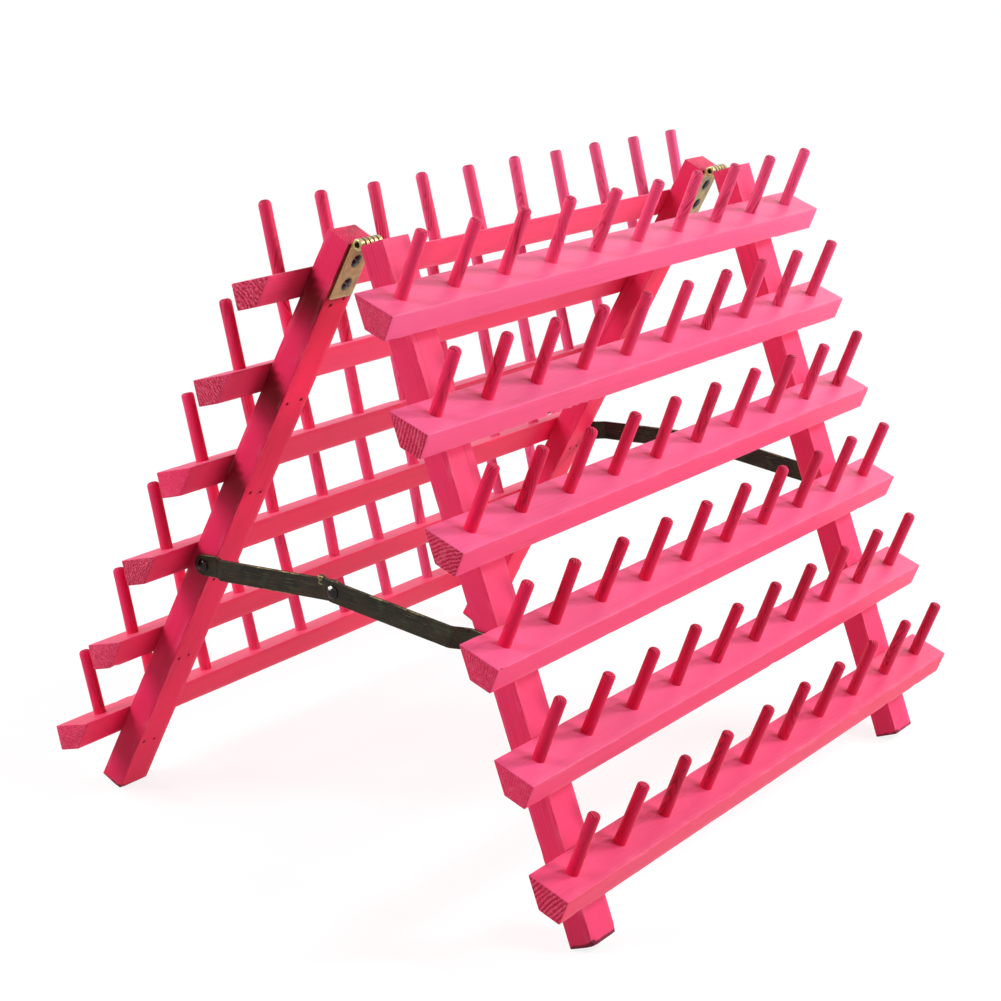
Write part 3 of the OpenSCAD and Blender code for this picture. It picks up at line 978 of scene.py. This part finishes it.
# How strong the painted shade is on the legs' sides beside the rails and towards the foot, and how dark the foot's end
# is painted
PAINTED_SHADE_ON_LEGS = {
    "back_left_leg": (1.0, 0.1, 0.65),
    "back_right_leg": (0.12, 0, 0.65),
    "front_left_leg": (0.3, 0.35, 1.0),
    "front_right_leg": (0.05, 0.1, 0.75),
}


class RACK_OT_legs(bpy.types.Operator):
    """Build the square-sawn legs with the sunk holes of the brads"""

    bl_idname = "rack.legs"
    bl_label = "Legs"

    def execute(self, context):
        wood = settings("wood")
        half = wood.leg_width / 2
        outline = [(-half, 0), (half, 0), (half, wood.leg_depth), (-half, wood.leg_depth)]
        low = -rail_top(RAILS) - wood.foot_drop
        paint = painted_wood("Painted pine leg", 0.3, 0.16)
        # painted light and painted shade on the legs' inner and outer faces and their sides
        faces, sides = ((0.0, 0.0), (0.47, 0.3)), {"back": (0.22, 0.3), "front": (0.31, 0.45)}
        for panel in PANELS:
            painted_lights = (faces[0], sides[panel], faces[1], sides[panel])
            for word, side in SIDES.items():
                name = "%s_%s_leg" % (panel, word)
                random = Random("%d %s" % (wood.seed, name))
                holes = [
                    (place, 0.00085, 0.0021, random.uniform(1.2, 1.9)) for place in brad_places(panel, side)
                ]
                chips = [(low + 0.0005, corner, 0.0025, 0.0006) for corner in (0, 2)]
                if name == "front_left_leg":
                    chips += [(low, 2, 0.0036, 0.0013), (low, 3, 0.0030, 0.0007)]
                grain = (random.uniform(-1, 1), random.uniform(1, 1.6), 0.25, 0.15)
                mesh = batten(name, outline, low, -wood.leg_top, holes, chips, grain, painted_lights, random)
                self.paint_shade(mesh, low, *PAINTED_SHADE_ON_LEGS[name])
                mesh.transform(on_leg(panel, side))
                finish_piece(name + "_painted", mesh, panel + "_panel", [name], paint)
        return {"FINISHED"}

    def paint_shade(self, mesh, low, beside, foot, end_dark):
        """Paints shade beside the hinge leaf and a painted shadow beside and below each rail, darkens the paint towards
        the foot, and darkens the foot's end.
        """
        wood = settings("wood")
        _, aside, outwards = mesh_normals(mesh).T
        along, _, out = mesh_points(mesh).T
        down = -along - wood.rail_first
        drop, away = down % wood.rail_pitch, wood.leg_depth - out
        # painted shadow of each rail on the leg's sides, from just below the rail and fading further down, weaker on
        # the lower rails
        dark = np.clip((0.0295 - drop) / 0.014, 0, 1) * np.clip((drop - away * 0.75) / 0.0035 + 0.2, 0, 1) * (down > 0)
        # darker paint towards the foot
        dark = dark * beside * np.interp(down, (0.10, 0.23), (1.0, 0.12)) + np.clip((low + 0.042 - along) / 0.02, 0, 1) * foot
        dark = dark * np.clip(np.abs(aside) * 2 - 0.7, 0, 1)
        # painted shadow of the hinge leaf on the leg's inner face
        leaf = np.clip(-outwards * 2 - 0.7, 0, 1) * np.clip((along + 0.0325) / 0.002, 0, 1)
        keep(mesh, "soot", np.maximum(dark, leaf))
        # the foot's end is painted darker
        pit = np.zeros(len(along))
        mesh.attributes["pit"].data.foreach_get("value", pit)
        keep(mesh, "pit", np.maximum(pit, np.clip(1.2 - (along - low) / 0.0022, 0, 1) * end_dark))


def peg_tree():
    """A row of turned pegs: three kinds of tip, each peg leaning a little its own way."""
    sizes = ["Count", "Spacing", "Radius", "Height", "Seat", "Shoulder", "Lean", "Grain slope", "Fade", "Outer fade", "Side fade", "Tone", "Seed", "Material"]
    g, size = geometry_tree("Peg row", sizes)
    radius, height = size["Radius"], size["Height"]
    shapes = g.add("GeometryNodeJoinGeometry")
    for tip, short, belly, slant in ((0.0024, 0.0001, 0.00004, 1.0), (0.0019, 0.0005, -0.00003, 0.35), (0.0013, 0.0009, 0.00002, -0.6)):
        spigot, top = radius - size["Shoulder"], height - short
        profile = [(size["Seat"] * -1, spigot - 0.0003), (size["Seat"] * -1 + 0.0004, spigot), (-0.0001, spigot)]
        profile += [(-0.00009, radius + 0.00006), (0.0001, radius + 0.00004), (0.0004, radius)]
        profile += [(top * 0.3, radius + belly), (top * 0.65, radius - abs(belly))]
        for k in range(7):
            turn = math.pi / 2 * k / 6
            profile.append((top - tip * (1 - math.sin(turn)), radius - tip * (1 - math.cos(turn)) - 0.00001 * k))
        form = lathe(g, profile, 18)
        x, y, z = g.add("GeometryNodeInputPosition").split()
        slope = size["Grain slope"] * slant
        grain = g.add("ShaderNodeCombineXYZ", None, {"X": z, "Y": (x + z * slope) * 1.5, "Z": (y + z * slope * 0.3) * 1.5})
        form = store(g, form, "grain", grain)
        _, _, up = g.add("GeometryNodeInputNormal").split()
        form = store(g, form, "cut", up.smooth(0.45, 0.8) * 0.8, "FLOAT")
        shape = g.add("GeometryNodeGeometryToInstance", None, {0: form})
        g.tree.links.new(shape.link, shapes.link.node.inputs[0])
    step = g.add("ShaderNodeCombineXYZ", None, {"X": size["Spacing"]})
    start = g.add("ShaderNodeCombineXYZ", None, {"X": size["Spacing"] * (size["Count"] - 1) * -0.5})
    line = g.add("GeometryNodeMeshLine", None, {"Count": size["Count"], "Start Location": start, "Offset": step})

    def chance(low, high, offset, kind="FLOAT"):
        node = g.add("FunctionNodeRandomValue", {"data_type": kind}, {"Seed": size["Seed"] + offset}).link.node
        output = [s for s in node.outputs if s.enabled][0]
        enabled = [s for s in node.inputs if s.enabled]
        g.feed(enabled[0], low)
        g.feed(enabled[1], high)
        return Socket(g, output)

    lean = g.add(
        "ShaderNodeCombineXYZ",
        None,
        {"X": chance(0.0, 0.6, 1) * size["Lean"], "Y": chance(-1.0, 1.0, 2) * size["Lean"]},
    )
    turn = g.add("ShaderNodeCombineXYZ", None, {"Z": chance(0.0, math.tau, 3)})
    lean, turn = (g.add("FunctionNodeEulerToRotation", None, {0: way}) for way in (lean, turn))
    rows = g.add(
        "GeometryNodeInstanceOnPoints",
        None,
        {
            "Points": line,
            "Instance": shapes,
            "Pick Instance": True,
            "Instance Index": chance(0, 2, 4, "INT"),
            "Rotation": g.add("FunctionNodeRotateRotation", {"rotation_space": "LOCAL"}, {0: lean, 1: turn}),
            "Scale": g.add("ShaderNodeCombineXYZ", None, {"X": 1.0, "Y": 1.0, "Z": chance(0.99, 1.0, 5)}),
        },
    )
    shift = g.add(
        "ShaderNodeCombineXYZ",
        None,
        {"X": chance(0.0, 3.0, 6), "Y": chance(-0.02, 0.02, 7), "Z": chance(-0.02, 0.02, 8)},
    )
    rows = store(g, rows, "shift", shift, domain="INSTANCE")
    # random tone of each peg, with painted shade that deepens down the rails
    rows = store(g, rows, "tone", chance(-0.3, 1.0, 9).math("MAXIMUM", 0.0) ** 2 * 0.5 + size["Tone"], "FLOAT", "INSTANCE")
    rows = g.add("GeometryNodeRealizeInstances", None, {0: rows})
    grain, shift = (
        g.add("GeometryNodeInputNamedAttribute", {"data_type": "FLOAT_VECTOR"}, {"Name": word}) for word in ("grain", "shift")
    )
    rows = store(g, rows, "grain", grain.shifted(shift))
    # painted light: each peg is painted lighter on the side the light falls on and along the rack where more light
    # falls
    _, outwards, _ = g.add("GeometryNodeInputNormal").split()
    aside, _, _ = g.add("GeometryNodeInputPosition").split()
    rows = store(g, rows, "fade", size["Fade"] + outwards * size["Outer fade"] + aside * size["Side fade"], "FLOAT")
    return close_tree(g, rows, size["Material"])


class RACK_OT_pegs(bpy.types.Operator):
    """Turn the rows of round dowel pegs and set them in the rails"""

    bl_idname = "rack.pegs"
    bl_label = "Pegs"

    def execute(self, context):
        wood, pegs = settings("wood"), settings("pegs")
        tree = peg_tree()
        paint = painted_wood("Painted dowel", 0.85, 0.22)
        for panel in PANELS:
            for number in range(1, RAILS + 1):
                name = "%s_pegs_%d" % (panel, number)
                seed = number * 20 + (400 if panel == "back" else 0)
                values = {
                    "Count": pegs.count,
                    "Spacing": RAIL_LENGTH / pegs.count,
                    "Radius": pegs.radius,
                    "Height": pegs.height,
                    "Seat": pegs.seat,
                    "Shoulder": pegs.shoulder,
                    "Lean": pegs.lean,
                    "Grain slope": pegs.grain_slope,
                    # painted light and painted shade of the pegs, from the rail's table
                    "Fade": PAINTED_LIGHT[panel][number - 1][-2],
                    "Outer fade": 0.0 if panel == "front" else 0.3,
                    "Side fade": -1.6 if panel == "front" else 3.0,
                    "Tone": PAINTED_LIGHT[panel][number - 1][-1],
                    "Seed": seed,
                    "Material": paint,
                }
                mesh = run_tree(name, bpy.data.meshes.new(name), tree, values)
                mesh.transform(on_rail(panel, number) @ Matrix.Translation((0, wood.rail_width / 2, 0)))
                finish_piece(name + "_turned", mesh, panel + "_panel", [name], sharp=50)
        return {"FINISHED"}


def fastener_tree(name, profile, sides, slot=None):
    """Turned fasteners at the points of a mesh, driving along +Z, with a screwdriver slot or none.

    profile gives (height, radius) points from the inputs; slot gives the height of its floor."""
    sizes = ["Head radius", "Head height", "Shank radius", "Length", "Slot width", "Material"]
    g, size = geometry_tree(name, sizes)
    form = lathe(g, profile(size), sides)
    if slot:
        floor = slot(size)
        deep = 0.004
        box = g.add(
            "GeometryNodeMeshCube",
            None,
            {"Size": g.add("ShaderNodeCombineXYZ", None, {"X": size["Head radius"] * 3, "Y": size["Slot width"], "Z": deep})},
        )
        place = g.add("ShaderNodeCombineXYZ", None, {"Z": floor - deep / 2})
        box = g.add("GeometryNodeTransform", None, {"Geometry": box, "Translation": place})
        form = g.add("GeometryNodeMeshBoolean", {"operation": "DIFFERENCE"}, {"Mesh 1": form, "Mesh 2": box})
    turn = g.add("GeometryNodeInputNamedAttribute", {"data_type": "FLOAT_VECTOR"}, {"Name": "turn"})
    rows = g.add(
        "GeometryNodeInstanceOnPoints",
        None,
        {
            "Points": size["Geometry"],
            "Instance": form,
            "Rotation": g.add("FunctionNodeEulerToRotation", None, {0: turn}),
        },
    )
    return close_tree(g, rows, size["Material"])


def dome_profile(size, top, steps=5):
    """The head's crown from its rim to its middle, rising against the driving direction from height top."""
    radius, rise = size["Head radius"], size["Head height"]
    points = []
    for k in range(steps + 1):
        turn = math.pi / 2 * k / steps
        points.append((top - rise * math.sin(turn), radius * math.cos(turn) + 0.000001))
    return points


def place_fasteners(name, tree, places, sizes, material):
    head, rise, shank, length, slot = sizes
    values = {
        "Head radius": head,
        "Head height": rise,
        "Shank radius": shank,
        "Length": length,
        "Slot width": slot,
        "Material": material,
    }
    return run_tree(name, points_mesh(name, places), tree, values)


class RACK_OT_brads(bpy.types.Operator):
    """Drive the brads that nail the rails to the legs"""

    bl_idname = "rack.brads"
    bl_label = "Brads"

    def execute(self, context):
        def profile(size):
            head, thick, shank = size["Head radius"], size["Head height"], size["Shank radius"]
            return [
                (size["Length"], 0.0001),
                (size["Length"] - 0.0015, shank),
                (thick, shank),
                (thick - 0.00002, head),
                (0.00015, head),
                (0.0, head - 0.0002),
                (0.0, 0.0006),
                (0.00025, 0.00001),
            ]

        tree = fastener_tree("Brad", profile, 14)
        steel = turned_steel("Drawn steel", (0.10, 0.085, 0.08), 0.42, 0.7, 0)
        sink = Matrix.Translation((0, 0, 0.0012))
        for panel in PANELS:
            places = [
                on_leg(panel, side) @ place @ sink for side in SIDES.values() for place in brad_places(panel, side)
            ]
            mesh = place_fasteners(panel + "_brads", tree, places, (0.00083, 0.0008, 0.0006, 0.022, 0), steel)
            finish_piece(panel + "_brads_driven", mesh, panel + "_panel", [panel + "_brads"])
        return {"FINISHED"}


class RACK_OT_hinges(bpy.types.Operator):
    """Press the hinge leaves and turn their pins"""

    bl_idname = "rack.hinges"
    bl_label = "Hinges"

    def execute(self, context):
        brass = brassed_steel()
        metal = settings("metal")
        for word, side in SIDES.items():
            for panel in PANELS:
                name = "%s_hinge_%s_leaf" % (word, panel)
                low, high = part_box(word + "_hinge_back_leaf")
                rims = np.linspace(low.x, high.x, metal.knuckles + 1) * ALONG[panel]

                def rolled(co):
                    """The leaf with the rims of its knuckles rounded over."""
                    out = np.hypot(co[:, 1], co[:, 2])
                    near = np.abs(co[:, :1] - rims).min(1)
                    pull = np.clip(1 - near / 0.0005, 0, 1) ** 1.5 * 0.00035
                    pull[(out > 0.003) | (out < 0.0018)] = 0
                    co[:, 1:] *= (1 - pull / np.maximum(out, 1e-6))[:, None]
                    return co

                mesh = pressed(name, name, PANELS[panel], metal.voxel * 0.7, 3, 0.00001, len(name), rolled)
                co = mesh_points(mesh) @ np.array(PANELS[panel].inverted())[:3, :3].T
                co += np.array(PANELS[panel].inverted().to_translation())
                # painted shade in the gaps between the knuckles, which the remeshing closes
                gap = np.clip(1.6 - np.abs(co[:, :1] - rims[1:-1]).min(1) / 0.0006, 0, 1) * (np.hypot(co[:, 1], co[:, 2]) < 0.0032)
                # painted shade in the countersinks round the screw heads
                for k in (0, 1):
                    for screw in SIDES.values():
                        away = np.hypot(co[:, 0] - screw * settings("wood").leg_place, co[:, 2] + 0.0105 + k * 0.0122)
                        gap = np.maximum(gap, np.clip(1.4 - (away - 0.0029) / 0.0005, 0, 1))
                keep(mesh, "gap", gap)
                finish_piece(name + "_pressed", mesh, panel + "_panel", [name], brass, sharp=80)

        def profile(size):
            half, r = size["Length"] * 0.5, size["Shank radius"]
            return [
                (half * -1, 0.0002),
                (half * -1 + 0.0001, r * 0.55),
                (half * -1 + 0.0004, r - 0.0001),
                (half * -1 + 0.0006, r),
                (half - 0.0006, r),
                (half - 0.0004, r - 0.0001),
                (half - 0.0001, r * 0.55),
                (half, 0.0002),
            ]

        tree = fastener_tree("Hinge pin", profile, 28)
        steel = turned_steel("Pin steel", (0.03, 0.022, 0.014), 0.45, 0.5, 0)
        for word, side in SIDES.items():
            node = word + "_hinge_pin"
            low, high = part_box(node)
            place = Matrix.Translation((low + high) / 2) @ Matrix.Rotation(math.pi / 2, 4, "Y")
            mesh = place_fasteners(node, tree, [place], (0, 0, (high - low).z / 2, (high - low).x - 0.0016, 0), steel)
            finish_piece(node + "_turned", mesh, "back_panel", [node])
        return {"FINISHED"}


class RACK_OT_screws(bpy.types.Operator):
    """Turn the slotted screws of the hinges and the stays and drive them in"""

    bl_idname = "rack.screws"
    bl_label = "Screws"

    def execute(self, context):
        steel = turned_steel("Dark steel", settings("metal").steel, 0.10, 0.4, 0.1)

        def sunk(size):
            head, shank = size["Head radius"], size["Shank radius"]
            tip = [(size["Length"], 0.0002), (size["Length"] - 0.003, shank), (head - shank, shank), (0.00004, head)]
            return tip + dome_profile(size, 0.0)

        tree = fastener_tree("Countersunk screw", sunk, 32, lambda size: 0.0008 - size["Head height"])
        wood = settings("wood")
        for panel in PANELS:
            places = [
                PANELS[panel]
                @ Matrix.Translation((side * wood.leg_place, wood.leg_face - 0.0011, -0.0105 - k * 0.0122))
                @ Matrix.Rotation(-math.pi / 2, 4, "X")
                @ Matrix.Rotation(math.radians((35, 28)[k] * side * -1), 4, "Z")
                for side in SIDES.values()
                for k in (0, 1)
            ]
            name = panel + "_hinge_screws"
            mesh = place_fasteners(name, tree, places, (0.0029, 0.0006, 0.0013, 0.010, 0.0008), steel)
            finish_piece(name + "_turned", mesh, panel + "_panel", [name])

        def round_headed(size):
            length, shank = size["Length"], size["Shank radius"]
            return [(length, 0.0002), (length - 0.003, shank), (0.00002, shank), (0.0, size["Head radius"] - 0.00001)] + [
                (height - 0.00002, radius) for height, radius in dome_profile(size, 0.0)
            ]

        tree = fastener_tree("Round-headed screw", round_headed, 32, lambda size: 0.0008 - size["Head height"])
        for panel in PANELS:
            places = [
                on_stay_turned(panel, side) @ Matrix.Translation((0, 0, -0.0019)) for side in SIDES.values()
            ]
            name = panel + "_stay_screws"
            mesh = place_fasteners(name, tree, places, (0.003, 0.0016, 0.0015, 0.013, 0.0008), steel)
            finish_piece(name + "_turned", mesh, panel + "_panel", [name])
        return {"FINISHED"}


def on_stay_turned(panel, side, along=0.0, turn=70):
    """At a place along a stay's strap, with Z into the leg and no mirroring."""
    spot = on_stay(panel, side) @ Vector((along, 0, 0))
    inwards = Matrix.Rotation(math.pi / 2 * -side, 4, "Y")
    return Matrix.Translation(spot) @ inwards @ Matrix.Rotation(math.radians(turn), 4, "Z")


class RACK_OT_stays(bpy.types.Operator):
    """Press the joggled straps of the folding stays"""

    bl_idname = "rack.stays"
    bl_label = "Stays"

    def execute(self, context):
        bronze = bronzed_steel()
        voxel = settings("metal").voxel
        for word, side in SIDES.items():
            for panel in PANELS:
                node = "%s_stay_%s_strap" % (word, panel)
                mesh = pressed(node, node, on_stay(panel, side), voxel, 2, 0.00003, len(node) + side)
                if panel == "front":
                    own = np.zeros(len(mesh.vertices) * 3)
                    mesh.attributes["own"].data.foreach_get("vector", own)
                    lug = np.clip((own[::3] - own[::3].max() + 0.0034) / 0.0003, 0, 1)
                    worn = np.zeros(len(lug))
                    mesh.attributes["worn"].data.foreach_get("value", worn)
                    keep(mesh, "worn", worn + lug * 0.42)
                body = "%s_%s_strap" % (word, panel)
                finish_piece(node + "_pressed", mesh, body, [node], bronze, sharp=80)
        return {"FINISHED"}


class RACK_OT_rivets(bpy.types.Operator):
    """Form the domed rivets of the elbows"""

    bl_idname = "rack.rivets"
    bl_label = "Rivets"

    def execute(self, context):
        def head(size):
            shank = size["Shank radius"]
            return [(size["Length"], 0.00001), (size["Length"] - 0.00001, shank), (0.00002, shank), (0.00001, size["Head radius"])] + [
                (height - 0.0001, radius) for height, radius in dome_profile(size, 0.0, 14)
            ]

        steel = turned_steel("Rivet steel", (0.012, 0.009, 0.010), 0.12, 0.2, 0.25)
        tree = fastener_tree("Rivet", head, 40)
        for word, side in SIDES.items():
            for part, panel in (("head", "front"), ("tail", "back")):
                node = "%s_rivet_%s" % (word, part)
                low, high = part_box(node)
                thick = (high - low).x
                centre = (low + high) / 2
                outer = Vector((side * max(abs(low.x), abs(high.x)), centre.y, centre.z))
                inner = Vector((side * min(abs(low.x), abs(high.x)), centre.y, centre.z))
                into = Matrix.Rotation(math.pi / 2 * -side, 4, "Y")
                if part == "head":
                    place = Matrix.Translation(outer - Vector((side * 0.0016, 0, 0))) @ into
                    sizes = (0.0032, 0.0015, 0.0015, thick - 0.0016, 0)
                else:
                    place = Matrix.Translation(inner + Vector((side * 0.0009, 0, 0))) @ into @ Matrix.Rotation(math.pi, 4, "X")
                    sizes = (0.0027, 0.0008, 0.0015, thick - 0.0009, 0)
                mesh = place_fasteners(node, tree, [place], sizes, steel)
                # painted highlight: a bright spot on the upper side of the head's dome, where a lamp's reflection would
                # show
                spot = np.array((outer.x, centre.y + 0.0007, centre.z + 0.0021))
                rubbed = np.linalg.norm((mesh_points(mesh) - spot)[:, 1:], axis=1)
                keep(mesh, "rubbed", np.clip(1.7 - rubbed / 0.0007, 0, 1) * (part == "head"))
                finish_piece(node + "_formed", mesh, "%s_%s_strap" % (word, panel), [node])
        return {"FINISHED"}


class RACK_OT_stage(bpy.types.Operator):
    """Set the camera, the soft lights, the white surroundings and the floor"""

    bl_idname = "rack.stage"
    bl_label = "Stage"

    def execute(self, context):
        look = settings("stage")
        scene = context.scene
        scene.view_settings.view_transform = "Standard"
        camera = bpy.data.objects.new("Camera", bpy.data.cameras.new("Camera"))
        scene.collection.objects.link(camera)
        place, target = Vector(look.camera), Vector(look.target)
        aim = (target - place).to_track_quat("-Z", "Y").to_matrix().to_4x4()
        camera.matrix_world = Matrix.Translation(place) @ aim @ Matrix.Rotation(look.roll, 4, "Z")
        camera.data.lens, camera.data.sensor_width = look.lens, 36
        camera.data.clip_start, camera.data.clip_end = 0.01, 30
        scene.camera = camera
        for name, spot, size, power in (
            ("Key softbox", (1.4, -1.1, 1.4), 0.5, look.key),
            ("Front softbox", (0.7, -1.9, 0.9), 0.7, look.key * 0.95),
            ("Side softbox", (1.9, 0.3, 0.9), 1.2, look.key * 0.25),
            ("Back softbox", (-0.2, 1.9, 0.9), 1.4, look.key * 0.45),
            ("Left softbox", (-1.6, 0.9, 1.4), 0.9, look.key * 0.88),
            ("Glint", (-1.28, 1.30, 0.93), 0.22, look.key * 0.16),
        ):
            lamp = bpy.data.lights.new(name, "AREA")
            lamp.shape, lamp.size, lamp.energy = "SQUARE", size, power
            box = bpy.data.objects.new(name, lamp)
            box.location = spot
            box.rotation_euler = (Vector((0, 0, 0.12)) - Vector(spot)).to_track_quat("-Z", "Y").to_euler()
            scene.collection.objects.link(box)
        self.surroundings(scene, look.fill)
        self.floor(scene)
        return {"FINISHED"}

    def surroundings(self, scene, fill):
        world = bpy.data.worlds.new("White surroundings")
        scene.world = world
        world.use_nodes = True
        world.node_tree.nodes.clear()
        g = Graph(world.node_tree)
        sky = g.add("ShaderNodeBackground", None, {"Color": (1, 1, 1, 1), "Strength": fill})
        white = g.add("ShaderNodeBackground", None, {"Color": (1, 1, 1, 1), "Strength": 1.0})
        both = g.add("ShaderNodeMixShader", None, {0: self.seen(g), 1: sky, 2: white})
        output = world.node_tree.nodes.new("ShaderNodeOutputWorld")
        g.feed(output.inputs["Surface"], both)

    def seen(self, g):
        """1 for what the camera sees straight away or mirrored."""
        path = g.add("ShaderNodeLightPath").link.node
        camera, glossy, through = (
            Socket(g, path.outputs["Is %s Ray" % kind]) for kind in ("Camera", "Glossy", "Transmission")
        )
        return camera.math("MAXIMUM", glossy).math("MAXIMUM", through)

    def floor(self, scene):
        mesh = bpy.data.meshes.new("Floor")
        shape = bmesh.new()
        bmesh.ops.create_circle(shape, cap_ends=True, segments=96, radius=6.0)
        shape.to_mesh(mesh)
        shape.free()
        floor = bpy.data.objects.new("Floor", mesh)
        floor.location.z = -0.0003
        scene.collection.objects.link(floor)
        material = bpy.data.materials.new("Pale floor")
        material.use_nodes = True
        material.node_tree.nodes.clear()
        g = Graph(material.node_tree)
        place = g.add("ShaderNodeTexCoord", output="Object")
        across, along, _ = place.split()
        seen = self.seen(g)
        far = ((across ** 2 + along ** 2) ** 0.5).smooth(0.30, 0.85) * seen
        pale = g.mix(g.noise(place, 300), (0.58, 0.58, 0.58), (0.62, 0.62, 0.62))
        plain = g.add("ShaderNodeBsdfDiffuse", None, {"Color": g.mix(seen, pale, (0.27, 0.27, 0.27))})
        glow = g.add("ShaderNodeEmission", None, {"Color": g.mix(seen, (0, 0, 0), (0.80, 0.80, 0.80)), "Strength": 1.0})
        near = g.add("ShaderNodeAddShader", None, {0: plain, 1: glow})
        white = g.add("ShaderNodeEmission", None, {"Color": (1, 1, 1, 1), "Strength": 1.0})
        both = g.add("ShaderNodeMixShader", None, {0: far, 1: near, 2: white})
        output = material.node_tree.nodes.new("ShaderNodeOutputMaterial")
        g.feed(output.inputs["Surface"], both)
        mesh.materials.append(material)


class RACK_PT_panel(bpy.types.Panel):
    bl_label = "Thread rack"
    bl_idname = "RACK_PT_panel"
    bl_space_type = "VIEW_3D"
    bl_region_type = "UI"
    bl_category = "Thread rack"

    def draw(self, context):
        for operator in OPERATORS:
            self.layout.operator(operator.bl_idname)
        for group in GROUPS:
            box = self.layout.box()
            for name in GROUPS[group].__annotations__:
                box.prop(settings(group), name)


OPERATORS = (
    RACK_OT_rails,
    RACK_OT_legs,
    RACK_OT_pegs,
    RACK_OT_brads,
    RACK_OT_hinges,
    RACK_OT_screws,
    RACK_OT_stays,
    RACK_OT_rivets,
    RACK_OT_stage,
)
GROUPS = {"wood": RackWood, "pegs": RackPegs, "paint": RackPaint, "metal": RackMetal, "stage": RackStage}


def register():
    for part in (*GROUPS.values(), *OPERATORS, RACK_PT_panel):
        bpy.utils.register_class(part)
    for name, group in GROUPS.items():
        setattr(bpy.types.Scene, "rack_" + name, PointerProperty(type=group))


def unregister():
    for name in GROUPS:
        delattr(bpy.types.Scene, "rack_" + name)
    for part in reversed((*GROUPS.values(), *OPERATORS, RACK_PT_panel)):
        bpy.utils.unregister_class(part)


def main():
    register()
    for operator in OPERATORS:
        getattr(bpy.ops.rack, operator.bl_idname.split(".")[1])()


if __name__ == "__main__":
    main()
